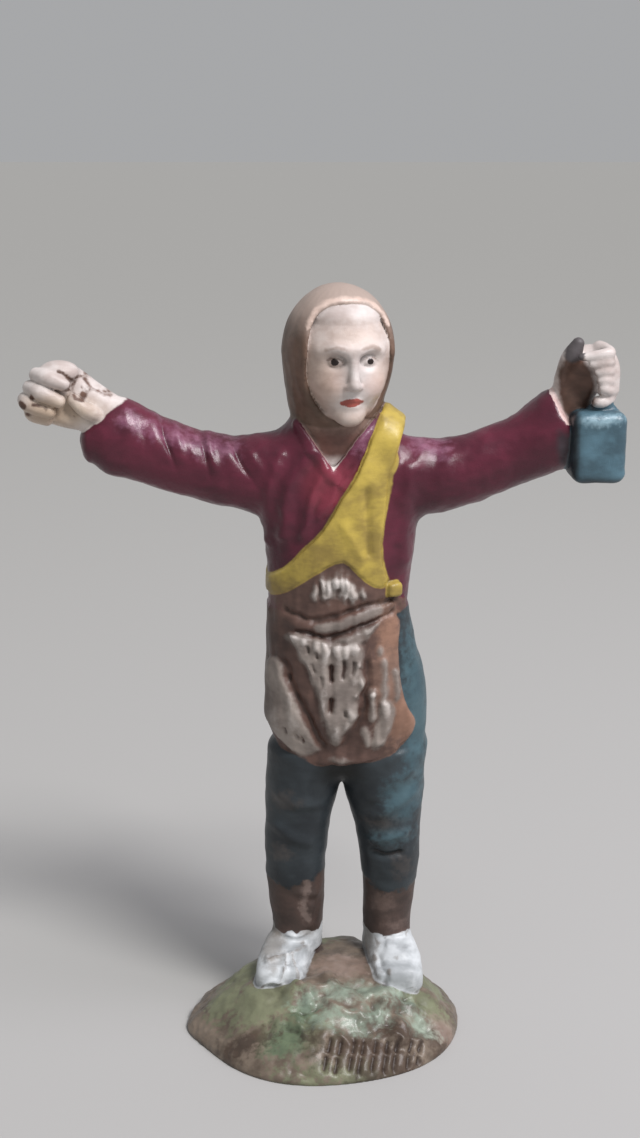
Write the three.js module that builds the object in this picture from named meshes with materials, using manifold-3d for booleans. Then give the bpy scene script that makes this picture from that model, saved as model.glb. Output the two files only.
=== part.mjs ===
// A painted terracotta nativity figure: a shepherd with raised arms, one fist closed and a lantern
// hanging from the other hand, in a smock, sash, fleece apron and breeches, on a mound of earth.
// It is pressed and fired as one piece, so every form below is joined into one solid.
// Millimetres, +Z up, the figure faces -Y, and x = 0 is its own middle while it is being built.
import * as THREE from "three";
import { RoundedBoxGeometry } from "three/addons/geometries/RoundedBoxGeometry.js";
import { mergeVertices } from "three/addons/utils/BufferGeometryUtils.js";
import Module from "manifold-3d";

const wasm = await Module();
wasm.setup();

const { smoothstep, lerp, clamp, degToRad } = THREE.MathUtils;

// Driving dimensions. The sections below are given for a figure 90 mm tall.
const figureHeight = 90;
const moundHalfWidth = 16.3;
const moundHalfDepth = 14.9;
const moundHeight = 7.6;
const chinZ = 75.0;
const crownZ = 90.0;
const headTurn = degToRad(13);
const hairThickness = 0.6;
const sashThickness = 0.75;
const apronThickness = 0.7;
const bibThickness = 0.5;

const clay = new THREE.MeshStandardMaterial({ color: 0x9c5f48, roughness: 0.6, metalness: 0 });

// A closed three.js geometry as a solid: shared vertices merged, collapsed triangles left out.
function toSolid(geometry) {
  const bare = geometry.clone();
  bare.deleteAttribute("normal");
  bare.deleteAttribute("uv");
  const merged = mergeVertices(bare, 1e-4);
  const corners = merged.index.array;
  const triVerts = [];
  for (let i = 0; i < corners.length; i += 3) {
    const [a, b, c] = corners.slice(i, i + 3);
    if (a !== b && b !== c && c !== a) triVerts.push(a, b, c);
  }
  return new wasm.Manifold(
    new wasm.Mesh({
      numProp: 3,
      vertProperties: merged.attributes.position.array,
      triVerts: new Uint32Array(triVerts),
    }),
  );
}

// Moves every vertex along its normal by relief(point, normal), in mm.
function emboss(geometry, relief) {
  const bare = geometry.clone();
  bare.deleteAttribute("normal");
  bare.deleteAttribute("uv");
  const merged = mergeVertices(bare, 1e-4);
  merged.computeVertexNormals();
  const place = merged.attributes.position;
  for (let i = 0; i < place.count; i++) {
    const point = new THREE.Vector3().fromBufferAttribute(place, i);
    const normal = new THREE.Vector3().fromBufferAttribute(merged.attributes.normal, i);
    const height = relief(point, normal);
    place.setXYZ(i, ...point.addScaledVector(normal, height).toArray());
  }
  return merged;
}

// The height of a soft ridge (or groove, if negative) along a path of [x, z], seen from the front.
function ridge(p, path, halfWidth, height) {
  let nearest = Infinity;
  for (let i = 0; i + 1 < path.length; i++) {
    const [[ax, az], [bx, bz]] = [path[i], path[i + 1]];
    const [dx, dz] = [bx - ax, bz - az];
    const t = clamp(((p.x - ax) * dx + (p.z - az) * dz) / (dx * dx + dz * dz), 0, 1);
    nearest = Math.min(nearest, Math.hypot(p.x - ax - t * dx, p.z - az - t * dz));
  }
  return height * Math.exp(-((nearest / halfWidth) ** 2));
}

const ridges = (p, list) => list.reduce((sum, shape) => sum + ridge(p, ...shape), 0);

// 1 where the surface faces the viewer, falling to 0 at its sides.
const inFront = (normal) => smoothstep(-normal.y, 0, 0.4);

const join = (solids) => solids.reduce((whole, solid) => whole.add(solid));

// A capsule bent along the centres of its sections. A section is { at, wide, deep, facing }: half
// its width across, half its depth towards `facing`. `square` over 2 makes the sections boxier and
// `frontDense` draws the columns of vertices towards the side that faces the viewer.
class Limb {
  constructor(sections, options = {}) {
    Object.assign(this, { columns: 14, rows: 8, capRows: 2, cap: 1, square: 2, frontDense: 0 }, options);
    const forward = options.facing ?? [0, -1, 0];
    this.sections = sections;
    this.centres = new THREE.CatmullRomCurve3(sections.map((s) => new THREE.Vector3(...s.at)));
    this.sizes = new THREE.CatmullRomCurve3(
      sections.map((s) => new THREE.Vector3(s.wide, s.deep ?? s.wide, 0)),
    );
    this.facings = new THREE.CatmullRomCurve3(
      sections.map((s) => new THREE.Vector3(...(s.facing ?? forward))),
    );
  }

  // The point at a share of the way along, at an angle round the section (90 degrees is the front).
  point(share, angle, reach = 1, beyond = 0) {
    const along = this.centres.getUtoTmapping(clamp(share, 0, 1));
    const tangent = this.centres.getTangent(along);
    const facing = this.facings.getPoint(along);
    const front = facing.addScaledVector(tangent, -facing.dot(tangent)).normalize();
    const side = tangent.clone().cross(front);
    const size = this.sizes.getPoint(along);
    const [c, s] = [Math.cos(angle), Math.sin(angle)];
    const radius = reach * (Math.abs(c) ** this.square + Math.abs(s) ** this.square) ** (-1 / this.square);
    return this.centres
      .getPoint(along)
      .addScaledVector(tangent, beyond)
      .addScaledVector(side, size.x * radius * c)
      .addScaledVector(front, size.y * radius * s);
  }

  // A section of a form that lies on an upright limb: its place at (x, z) and its way of facing.
  on(x, z, lift, wide, deep, rear = false) {
    const bottom = this.sections[0].at[2];
    const top = this.sections.at(-1).at[2];
    const share = (z - bottom) / (top - bottom);
    const along = this.centres.getUtoTmapping(clamp(share, 0, 1));
    const size = this.sizes.getPoint(along);
    const u = clamp((x - this.centres.getPoint(along).x) / size.x, -0.985, 0.985);
    const v = (1 - Math.abs(u) ** this.square) ** (1 / this.square) * (rear ? -1 : 1);
    const angle = Math.atan2(v, u);
    const place = this.point(share, angle);
    const outward = new THREE.Vector3(
      (Math.sign(u) * Math.abs(u) ** (this.square - 1)) / size.x,
      (-Math.sign(v) * Math.abs(v) ** (this.square - 1)) / size.y,
      0,
    ).normalize();
    return { at: place.addScaledVector(outward, lift).toArray(), wide, deep, facing: outward.toArray() };
  }

  solid() {
    const [startCap, endCap] = Array.isArray(this.cap) ? this.cap : [this.cap, this.cap];
    const geometry = new THREE.CapsuleGeometry(1, 2, this.capRows, this.columns, this.rows);
    const place = geometry.attributes.position;
    for (let i = 0; i < place.count; i++) {
      const [x, y, z] = [place.getX(i), place.getY(i), place.getZ(i)];
      const beyond = y > 1 ? (y - 1) * endCap : Math.min(y + 1, 0) * startCap;
      const turn = Math.atan2(z, x);
      const angle = turn + this.frontDense * Math.cos(turn);
      place.setXYZ(i, ...this.point((y + 1) / 2, angle, Math.hypot(x, z), beyond).toArray());
    }
    return toSolid(this.relief ? emboss(geometry, this.relief) : geometry);
  }

  // The same limb made thicker all round, for a layer of cloth or fleece that lies over it.
  grown(by, options = {}) {
    const sections = this.sections.map((s) => ({ ...s, wide: s.wide + by, deep: (s.deep ?? s.wide) + by }));
    return new Limb(sections, { ...this, ...options });
  }
}

// A slender roll of clay: a fold, a lock, a lip or a finger, thinning towards its ends.
function roll(points, radius, options = {}) {
  const last = points.length - 1;
  const sections = points.map((at, i) => {
    const taper = 1 - (options.taper ?? 0.15) * Math.abs((2 * i) / last - 1);
    return { at, wide: radius * taper };
  });
  return new Limb(sections, { columns: 6, rows: 3, capRows: 2, cap: radius * 0.9, ...options }).solid();
}

function egg(at, halfSizes, columns = 10, rows = 6) {
  const geometry = new THREE.SphereGeometry(1, columns, rows);
  return toSolid(geometry.scale(...halfSizes).translate(...at));
}

// A flat outline of [x, z] points, drawn through as a smooth line and carried from y = front to rear.
function slab(outline, front, rear, smooth = true) {
  const shape = new THREE.Shape();
  const [first, ...rest] = outline.map(([x, z]) => new THREE.Vector2(x, z));
  shape.moveTo(first.x, first.y);
  if (smooth) shape.splineThru([...rest, first]);
  else rest.forEach((p) => shape.lineTo(p.x, p.y));
  const options = { depth: rear - front, bevelEnabled: false, curveSegments: smooth ? 2 : 1 };
  return toSolid(new THREE.ExtrudeGeometry(shape, options).rotateX(Math.PI / 2).translate(0, rear, 0));
}

// Soft lumps of clay, each [x, z, half width, half height, height].
function lumps(p, list) {
  let height = 0;
  for (const [x, z, wide, tall, rise] of list) {
    height = Math.max(height, rise * Math.exp(-(((p.x - x) / wide) ** 2) - ((p.z - z) / tall) ** 2));
  }
  return height;
}

// The smock: chest and shoulders, with folds that spread from the neck towards the fist-side waist.
const chestFolds = [
  [[[-7.2, 71.0], [-6.3, 67.0], [-6.7, 61.5]], 0.75, 0.5],
  [[[-5.0, 71.6], [-3.9, 66.4], [-4.4, 62.0]], 0.75, 0.55],
  [[[-2.6, 70.4], [-1.7, 67.0], [-2.3, 63.6]], 0.7, 0.4],
  [[[-5.8, 69.4], [-5.1, 64.0]], 0.6, -0.3],
  [[[7.4, 69.5], [7.0, 64.0], [7.2, 59.0]], 0.8, 0.45],
];
const chestRelief = (p, n) => inFront(n) * ridges(p, chestFolds);

const chest = new Limb(
  [
    { at: [-0.3, 3.2, 50.5], wide: 8.0, deep: 5.6 },
    { at: [-0.2, 3.2, 55], wide: 8.15, deep: 5.6 },
    { at: [0, 3.1, 60], wide: 8.6, deep: 5.8 },
    { at: [0, 3, 64], wide: 8.85, deep: 5.7 },
    { at: [0, 3, 67.5], wide: 8.9, deep: 5.4 },
    { at: [0, 3, 70.5], wide: 8.2, deep: 5.0 },
    { at: [-0.1, 3, 73], wide: 6.6, deep: 4.6 },
    { at: [-0.1, 3, 75], wide: 5.5, deep: 4.3 },
  ],
  { columns: 26, rows: 10, cap: [1, 1.4], square: 2.35, frontDense: 0.35, relief: chestRelief },
);

// The hips, in breeches, which the fleece apron covers in front and on the fist side.
const hips = new Limb(
  [
    { at: [0.9, 3.6, 36.2], wide: 8.5, deep: 5.2 },
    { at: [0.7, 3.4, 39.6], wide: 9.1, deep: 5.9 },
    { at: [0.6, 3.3, 43.3], wide: 8.95, deep: 6.0 },
    { at: [0.2, 3.2, 47], wide: 8.5, deep: 5.7 },
    { at: [-0.3, 3.2, 52.5], wide: 7.9, deep: 5.4 },
  ],
  { columns: 18, rows: 5, cap: [4.6, 1], square: 2.35 },
);

// The apron hangs in three panels, the middle one a wedge, with wool left standing on them.
const apronOutline = [
  [-10.5, 40.6],
  [-8.4, 39.2],
  [-7.3, 37.2],
  [-4.6, 35.3],
  [0, 34.5],
  [4.2, 35.8],
  [7.4, 37.6],
  [9.2, 40.4],
  [8.6, 44],
  [7.7, 48.6],
  [7.2, 52.5],
  [0, 53.5],
  [-10.5, 53.5],
];
const apronRear = 5.5;
const apronGrooves = [
  [[[-6.9, 48.4], [-6.0, 45.7], [-5.0, 43.4], [-3.5, 39.8], [-2.0, 36.4]], 0.85, -0.7],
  [[[3.3, 47.8], [3.2, 44.6], [2.5, 41.6], [0.4, 37.2]], 0.75, -0.65],
];
const apronLumps = [
  [-4.9, 49.9, 1.2, 0.9, 0.5],
  [-2.4, 49.2, 1.1, 1.1, 0.55],
  [0.3, 49.4, 1.1, 1.1, 0.55],
  [2.8, 50.9, 1.2, 0.8, 0.5],
  [-2.8, 45.4, 0.85, 2.4, 0.4],
  [-0.6, 44.2, 0.85, 3.4, 0.45],
  [1.6, 44.6, 0.85, 2.6, 0.55],
  [5.0, 44.4, 0.9, 3.2, 0.5],
  [7.3, 44.0, 0.8, 2.4, 0.35],
  [-7.4, 44.6, 1.2, 2.4, 0.4],
  [-5.8, 39.8, 1.4, 2.6, 0.45],
];
const apronRelief = (p, n) => inFront(n) * (lumps(p, apronLumps) + ridges(p, apronGrooves));

function apron() {
  const layer = hips.grown(apronThickness, {
    columns: 30,
    rows: 12,
    cap: [3.6, 1],
    frontDense: 0.45,
    relief: apronRelief,
  });
  return layer.solid().intersect(slab(apronOutline, -12, apronRear));
}

// The fleece's upper edge is rolled over the belt, and a bib of wool stands between belt and sash.
const beltFront = [
  [-8.2, 53.0, 0.7],
  [-5.6, 51.9, 0.85],
  [-2.0, 51.7, 1.0],
  [1.2, 52.2, 1.15],
  [4.2, 53.2, 1.0],
  [7.8, 53.8, 0.7],
];
const beltRear = [
  [-8.2, 53.0, 0.7],
  [-3, 52.2, 0.8],
  [3, 52.6, 0.8],
  [7.8, 53.8, 0.7],
];
const bibOutline = [
  [-7.2, 52.5],
  [-6.6, 54.9],
  [-3.4, 56.9],
  [-0.6, 58.6],
  [1.2, 58.5],
  [3.4, 56.9],
  [6.6, 54.9],
  [7.0, 52.6],
];
const bibTufts = [
  [-2.7, 55.5, 0.65, 1.1, 0.5],
  [-1.0, 55.7, 0.7, 1.3, 0.55],
  [0.2, 57.2, 0.7, 0.9, 0.45],
  [1.3, 56.0, 0.7, 1.2, 0.55],
  [2.9, 55.5, 0.65, 1.0, 0.45],
];

function belt(path, rear) {
  const sections = path.map(([x, z, half]) => chest.on(x, z, 0.25, half, 0.75, rear));
  return new Limb(sections, { columns: 6, rows: 7, cap: 0.7 }).solid();
}

function bib() {
  const relief = (p, n) => inFront(n) * lumps(p, bibTufts);
  const layer = chest.grown(bibThickness, { columns: 28, rows: 14, frontDense: 0.45, relief });
  return layer.solid().intersect(slab(bibOutline, -12, 1));
}

// The sash runs from the lantern-side shoulder and parts in two above the belt.
const sashOutline = [
  [3.9, 77.4],
  [3.8, 72.1],
  [2.4, 68.7],
  [1.1, 65.8],
  [-1.2, 61.8],
  [-4.6, 58.9],
  [-9.6, 57.2],
  [-9.6, 54.7],
  [-4.6, 56.5],
  [-1.2, 58.0],
  [0.4, 59.1],
  [1.4, 58.3],
  [3.4, 56.8],
  [6.9, 55.0],
  [6.4, 56.6],
  [5.6, 57.7],
  [4.9, 60.6],
  [5.1, 64.1],
  [5.4, 67.5],
  [5.9, 70.9],
  [7.2, 74.4],
  [7.0, 77.4],
];
const rearSashOutline = [
  [3.9, 77.4],
  [-9.6, 57.4],
  [-9.6, 54.0],
  [7.2, 74.4],
  [7.0, 77.4],
];
const sashCrease = [[[2.9, 67.4], [3.2, 60.4]], 0.8, -0.3];
const shoulderStrap = [
  [5.2, -1.0, 71.4],
  [5.5, 0.4, 73.6],
  [5.6, 3.0, 74.6],
  [5.4, 5.6, 73.8],
];

function sash() {
  const relief = (p, n) => inFront(n) * ridge(p, ...sashCrease);
  const layer = chest.grown(sashThickness, { columns: 22, rows: 9, relief }).solid();
  const strap = new Limb(
    shoulderStrap.map((at) => ({ at, wide: 1.3, deep: 0.8, facing: [0.35, 0, 1] })),
    { columns: 7, rows: 4, cap: 0.6 },
  );
  const knot = roll([chest.on(5.6, 56.6, 0.5).at, chest.on(6.9, 56.0, 0.45).at], 0.75, { rows: 2 });
  return join([
    layer.intersect(slab(sashOutline, -12, 3, false)),
    layer.intersect(slab(rearSashOutline, 3, 12, false)),
    strap.solid(),
    knot,
  ]);
}

// A rolled collar round the neck opening, which is cut down into the smock.
const neckOpening = [
  [-0.7, 69.2],
  [-4.6, 74.8],
  [-4.6, 79],
  [5.6, 79],
  [5.2, 76.4],
];
const openingDepth = 0.9;
const collarRadius = 0.55;

function collar() {
  const [point, left, , , right] = neckOpening;
  const edge = (end) =>
    [0, 0.5, 1].map((t) => chest.on(lerp(point[0], end[0], t), lerp(point[1], end[1], t), 0.05).at);
  return [left, right].map((end) => roll(edge(end), collarRadius, { columns: 5, rows: 2 }));
}

function openNeck(smock) {
  const inside = chest.grown(-openingDepth);
  return smock.subtract(slab(neckOpening, -12, 1, false).subtract(inside.solid()));
}

// The sleeves end in a loose cuff. Every second row of vertices rises, between two shares of the
// way from the shoulder, so that wrinkles cross the sleeve's upper face.
function wrinkled(sections, rows, from, to, options) {
  const start = sections[0].at[0];
  const length = sections.at(-1).at[0] - start;
  const relief = (p, n) => {
    const share = (p.x - start) / length;
    const inside = smoothstep(share, from - 0.08, from) * (1 - smoothstep(share, to, to + 0.08));
    return 0.24 * inside * Math.cos(Math.PI * rows * share) * smoothstep(0.7 * n.z - n.y, 0, 0.9);
  };
  return new Limb(sections, { columns: 12, rows, relief, ...options });
}

const fistSleeve = wrinkled(
  [
    { at: [-2, 3, 68.6], wide: 5.2, deep: 4.4 },
    { at: [-7.5, 3, 68.1], wide: 5.0, deep: 4.4 },
    { at: [-11.5, 3, 68.35], wide: 4.2, deep: 4.1 },
    { at: [-15.8, 3, 69.2], wide: 3.9, deep: 3.9 },
    { at: [-20.3, 2.9, 70.6], wide: 3.95, deep: 3.8 },
    { at: [-24.3, 2.8, 72.0], wide: 3.9, deep: 3.6 },
    { at: [-26.4, 2.7, 72.7], wide: 3.6, deep: 3.3 },
  ],
  14,
  0.3,
  0.72,
  { cap: 1.1 },
);
const lanternSleeve = wrinkled(
  [
    { at: [2, 3, 68.4], wide: 5.0, deep: 4.4 },
    { at: [8, 3, 67.9], wide: 4.6, deep: 4.3 },
    { at: [11.6, 3, 68.1], wide: 4.25, deep: 4.1 },
    { at: [15.9, 3, 69.2], wide: 4.05, deep: 3.9 },
    { at: [20.2, 2.9, 71.2], wide: 3.9, deep: 3.8 },
    { at: [23.2, 2.8, 73.2], wide: 4.3, deep: 3.9 },
    { at: [24.6, 2.7, 74.1], wide: 4.6, deep: 3.9 },
  ],
  14,
  0.3,
  0.55,
  { cap: [1.1, 0.5] },
);

// Legs: breeches to below the knee, then bare shins, each in a blunt shoe with toes turned out.
const breechesHem = 15.2;
const breechesThickness = 0.3;
const legFolds = [
  [[[4.3, 24.0], [5.8, 24.5], [7.6, 25.1]], 0.75, 0.45],
  [[[4.4, 22.3], [7.4, 22.3]], 0.6, -0.45],
  [[[4.3, 27.4], [6.2, 28.8], [8.5, 30.1]], 0.8, 0.4],
  [[[-7.2, 25.6], [-5.6, 24.3], [-3.8, 23.7]], 0.8, 0.4],
  [[[-6.8, 29.8], [-5.0, 28.9], [-3.2, 28.8]], 0.8, 0.35],
];
const legRelief = (p, n) =>
  breechesThickness * smoothstep(p.z, breechesHem - 0.4, breechesHem + 0.4) +
  inFront(n) * ridges(p, legFolds);

const fistLeg = new Limb(
  [
    { at: [-5.0, 5.0, 8.5], wide: 3.0, deep: 3.0 },
    { at: [-5.05, 5.0, 12], wide: 3.15, deep: 3.1 },
    { at: [-5.1, 4.8, 15.2], wide: 3.3, deep: 3.2 },
    { at: [-5.2, 4.3, 21], wide: 3.5, deep: 3.5 },
    { at: [-4.95, 4.0, 26.5], wide: 3.8, deep: 3.9 },
    { at: [-4.5, 3.8, 31], wide: 4.1, deep: 4.5 },
    { at: [-3.9, 3.6, 35], wide: 4.3, deep: 5.0 },
  ],
  { columns: 12, rows: 13, relief: legRelief },
);
const lanternLeg = new Limb(
  [
    { at: [5.9, 5.0, 8.5], wide: 2.85, deep: 2.9 },
    { at: [5.95, 5.0, 12.2], wide: 2.95, deep: 3.0 },
    { at: [6.1, 4.8, 15.5], wide: 3.05, deep: 3.1 },
    { at: [6.05, 4.3, 20], wide: 3.3, deep: 3.4 },
    { at: [5.85, 4.0, 25], wide: 3.65, deep: 3.8 },
    { at: [5.4, 3.8, 30], wide: 4.25, deep: 4.5 },
    { at: [5.0, 3.6, 35], wide: 4.8, deep: 5.0 },
  ],
  { columns: 12, rows: 13, relief: legRelief },
);
function shoe(heelX, toeX) {
  const at = (share, y, z) => [lerp(heelX, toeX, share), y, z];
  return new Limb(
    [
      { at: at(0, 7.4, 7.7), wide: 2.7, deep: 2.3 },
      { at: at(0.35, 4.4, 8.2), wide: 2.95, deep: 2.8 },
      { at: at(0.8, 1.2, 7.6), wide: 3.2, deep: 2.4 },
      { at: at(1, -1.2, 6.9), wide: 3.0, deep: 1.9 },
    ],
    { columns: 14, rows: 5, cap: [1.6, 1.5], square: 2.8, facing: [0, 0, 1] },
  ).solid();
}

// The head. The face is calm and of plain proportions, framed by hair that falls to the collar.
const faceZ = (share) => lerp(chinZ, crownZ - hairThickness, share);
const eyeLine = faceZ(0.49);
const eyeSpacing = 2.0;
const noseTip = faceZ(0.29);
const mouthLine = faceZ(0.17);
const faceOpening = { halfWidth: 4.75, halfHeight: 6.4, middle: faceZ(0.37), points: 18 };

function faceRelief(p, n) {
  const side = Math.sign(p.x);
  const forms = [
    [side * eyeSpacing, eyeLine + 0.1, 1.3, 0.85, -0.62],
    [side * 2.1, eyeLine + 1.5, 1.6, 0.7, 0.28],
    [side * 2.7, noseTip + 0.4, 1.6, 1.5, 0.28],
    [0, chinZ + 0.9, 1.4, 1.0, 0.55],
    [0, mouthLine, 1.5, 1.1, 0.15],
  ];
  const height = forms.reduce(
    (sum, [x, z, wide, tall, rise]) =>
      sum + rise * Math.exp(-(((p.x - x) / wide) ** 2) - ((p.z - z) / tall) ** 2),
    0,
  );
  return inFront(n) * height;
}

const skull = new Limb(
  [
    { at: [0, -0.6, 76.4], wide: 3.4, deep: 4.6 },
    { at: [0, -0.2, 78.6], wide: 4.7, deep: 5.7 },
    { at: [0, 0, 81.2], wide: 5.4, deep: 6.2 },
    { at: [0, 0.1, 83.8], wide: 5.5, deep: 6.3 },
    { at: [0, 0.2, 86], wide: 5.0, deep: 5.8 },
  ],
  {
    columns: 24,
    rows: 12,
    capRows: 2,
    cap: [1.6, 3.2],
    square: 2.05,
    frontDense: 0.42,
    relief: faceRelief,
  },
);
const hairMass = new Limb(
  [
    { at: [0, 0.9, 73.2], wide: 4.7, deep: 3.7 },
    { at: [0, 0.9, 76.4], wide: 5.35, deep: 5.1 },
    { at: [0, 0.5, 79.4], wide: 5.85, deep: 5.9 },
    { at: [0, 0.2, 82.4], wide: 6.15, deep: 6.7 },
    { at: [0, 0.2, 84.8], wide: 6.0, deep: 6.75 },
    { at: [0, 0.2, 86.5], wide: 5.4, deep: 6.1 },
  ],
  { columns: 18, rows: 6, capRows: 4, cap: [1, 3.5], square: 2.05 },
);

function hair() {
  const { halfWidth, halfHeight, middle, points } = faceOpening;
  const outline = Array.from({ length: points }, (_, i) => {
    const angle = (i / points) * 2 * Math.PI;
    return [halfWidth * Math.cos(angle), middle + halfHeight * Math.sin(angle)];
  });
  return hairMass.solid().subtract(slab(outline, -12, 0.5, false));
}

function face() {
  const eyes = [-1, 1].map((side) =>
    egg(skull.on(side * eyeSpacing, eyeLine, -0.75).at, [1.0, 0.62, 0.58], 8, 6),
  );
  const wings = [-1, 1].map((side) =>
    egg(skull.on(side * 0.62, noseTip + 0.05, 0.1).at, [0.5, 0.6, 0.42], 7, 4),
  );
  const nose = new Limb(
    [
      { at: skull.on(0, eyeLine + 0.9, -0.25).at, wide: 0.65, deep: 0.5 },
      { at: skull.on(0, lerp(eyeLine, noseTip, 0.5), 0.2).at, wide: 0.62, deep: 0.65 },
      { at: skull.on(0, noseTip + 0.3, 0.5).at, wide: 0.7, deep: 0.65 },
    ],
    { columns: 8, rows: 3, cap: 0.5 },
  );
  const lip = (z, half, radius) => {
    const sections = [-half, 0, half].map((x) => ({
      at: skull.on(x, z, 0.12 - 0.12 * Math.abs(x)).at,
      wide: radius * (1 - (0.35 * Math.abs(x)) / half),
      deep: 0.4,
    }));
    return new Limb(sections, { columns: 6, rows: 3, cap: 0.25 }).solid();
  };
  return join([
    skull.solid(),
    ...eyes,
    ...wings,
    nose.solid(),
    lip(mouthLine + 0.3, 1.3, 0.3),
    lip(mouthLine - 0.36, 1.05, 0.42),
  ]);
}

const headPlace = (solid) => solid.rotate([0, 0, THREE.MathUtils.radToDeg(headTurn)]).translate([0, 2.2, 0]);

const neck = new Limb(
  [
    { at: [0.1, 2.9, 69], wide: 4.4, deep: 3.9 },
    { at: [0, 2.7, 74], wide: 4.6, deep: 4.0 },
    { at: [0, 2.5, 79], wide: 4.8, deep: 4.6 },
  ],
  { columns: 12, rows: 2 },
).solid();

// Hands. A finger is a roll through its knuckle, its bend and its tip.
const finger = (points, radius) =>
  roll(points, radius, { columns: 6, rows: 2, taper: 0.1, facing: [0.3, -1, 0.1] });

const fistHand = [
  new Limb(
    [
      { at: [-26.2, 2.6, 73.9], wide: 2.5, deep: 2.3 },
      { at: [-28.6, 2.4, 75.6], wide: 2.9, deep: 2.4 },
      { at: [-31.2, 2.2, 77.2], wide: 3.5, deep: 2.6 },
      { at: [-33.0, 2.1, 77.9], wide: 3.0, deep: 2.3 },
    ],
    { columns: 10, rows: 4, cap: [1, 1.4] },
  ).solid(),
  finger([[-29.4, 1.6, 80.2], [-32.0, 0.3, 80.3], [-31.2, -0.9, 79.9]], 1.3),
  finger([[-34.2, 1.3, 79.3], [-33.3, -0.6, 79.0], [-30.2, -0.9, 78.6]], 1.15),
  finger([[-34.9, 1.4, 77.4], [-34.2, -0.3, 77.3], [-31.4, -0.8, 76.9]], 1.1),
  finger([[-34.7, 1.7, 75.5], [-34.2, 0.1, 75.3], [-31.6, -0.4, 75.2]], 1.05),
  finger([[-27.6, 0.5, 75.6], [-28.6, -0.3, 76.8], [-29.6, -0.5, 77.9]], 0.85),
];

// The lantern hand: a cupped palm, a thumb, and four fingers folded to the front, one over another.
const fingerRows = [82.4, 80.8, 79.2, 77.6];
const foldedFinger = (z, i) => [
  [30.0 + 0.3 * i, 1.8, z],
  [30.2 + 0.25 * i, -0.4, z - 0.2],
  [27.6 + 0.35 * i, -0.8, z - 0.4],
];
const lanternHand = [
  new Limb(
    [
      { at: [24.4, 2.6, 76.3], wide: 3.0, deep: 2.4 },
      { at: [26.8, 2.4, 78.4], wide: 3.1, deep: 2.1 },
      { at: [28.4, 2.1, 80.6], wide: 3.0, deep: 1.9 },
    ],
    { columns: 10, rows: 3, cap: [1, 1.7] },
  ).solid(),
  ...fingerRows.map((z, i) => finger(foldedFinger(z, i), 1.02)),
  finger([[25.6, 1.3, 80], [25.9, 0.7, 82], [26.1, 0.4, 83.2]], 0.95),
];

// The lantern: a blunt box with a rounded rim, hung from the hand by a short bar.
const lantern = { width: 5.9, depth: 5.6, height: 7.9, corner: 1.2, at: [28.6, 0.4], bottom: 67.7 };
const lanternTurn = degToRad(10);

function lanternForms() {
  const { width, depth, height, corner, bottom } = lantern;
  const [x, y] = lantern.at;
  const body = new RoundedBoxGeometry(width, depth, height, 2, corner).rotateZ(lanternTurn);
  const bar = roll([[x - 1.4, y, bottom + height + 0.3], [x + 2.2, y, bottom + height + 0.3]], 0.95);
  return [toSolid(body.translate(x, y, bottom + height / 2)), bar];
}

// The mound of earth: a turned profile of [share of the outline, share of the height], its crown set
// back behind the toes, with lumps of stone in front and a row of short tool strokes.
const moundProfile = [
  [0, 1],
  [0.4, 0.96],
  [0.6, 0.79],
  [0.74, 0.57],
  [0.87, 0.34],
  [0.97, 0.16],
  [1.0, 0.08],
  [1.0, 0],
];
const moundMiddle = [-1.6, 0];
const moundCrown = [0.4, 3.6];
const moundLumps = [
  [-4.4, -4.6, 1.9, 0.7],
  [-0.9, -3.8, 1.5, 0.55],
  [1.2, -7.0, 1.8, 0.75],
  [4.4, -6.6, 1.5, 0.55],
  [7.6, -5.0, 1.7, 0.6],
  [11.0, -1.6, 1.9, 0.5],
  [-9.6, -2.6, 2.1, 0.6],
  [-6.4, -8.6, 1.8, 0.6],
  [-1.8, -9.8, 1.9, 0.65],
  [8.6, -8.2, 1.6, 0.5],
  [3.4, -9.8, 1.5, 0.5],
  [-12.4, 3.2, 2.0, 0.5],
  [-7.5, 8.6, 2.2, 0.6],
  [1.5, 10.2, 2.4, 0.5],
  [8.5, 7.6, 2.2, 0.6],
];
const toolMarks = { from: [-1.2, -12.9], to: [9.4, -10.4], count: 7, width: 0.5, length: 1.6, depth: 0.45 };

function moundOutline(angle) {
  const wobble = 0.015 * Math.sin(3 * angle + 0.6) + 0.012 * Math.sin(5 * angle - 1.1);
  const point = 0.05 * Math.exp(-(((angle + 2 * Math.PI) % (2 * Math.PI) - 3.27) ** 2) / 0.05);
  return 1 + wobble + point - 0.03 * Math.sin(angle) ** 2;
}

// The mound's height over (x, y), from the same profile.
function moundTop(x, y) {
  let share = Math.hypot((x - moundMiddle[0]) / moundHalfWidth, (y - moundMiddle[1]) / moundHalfDepth);
  for (let round = 0; round < 6; round++) {
    const z = moundProfileHeight(share);
    const [shiftX, shiftY] = moundShift(share, z);
    share = Math.hypot((x - shiftX) / moundHalfWidth, (y - shiftY) / moundHalfDepth);
  }
  return moundProfileHeight(share);
}

function moundProfileHeight(share) {
  const i = Math.max(1, moundProfile.findIndex(([s]) => s >= Math.min(share, 1)));
  const [[s0, h0], [s1, h1]] = [moundProfile[i - 1], moundProfile[i]];
  return moundHeight * lerp(h0, h1, (Math.min(share, 1) - s0) / Math.max(s1 - s0, 1e-6));
}

function moundShift(share, z) {
  const rise = smoothstep(z, 0, moundHeight) * (1 - Math.min(share, 1));
  return [lerp(moundMiddle[0], moundCrown[0], rise), lerp(moundMiddle[1], moundCrown[1], rise)];
}

function moundRelief(p, n) {
  let height = 0;
  for (const [x, y, halfWidth, rise] of moundLumps) {
    height += rise * Math.exp(-((p.x - x) ** 2 + (p.y - y) ** 2) / halfWidth ** 2);
  }
  return height * smoothstep(n.z, 0.1, 0.5) * smoothstep(p.z, 0.4, 1.4);
}

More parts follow.
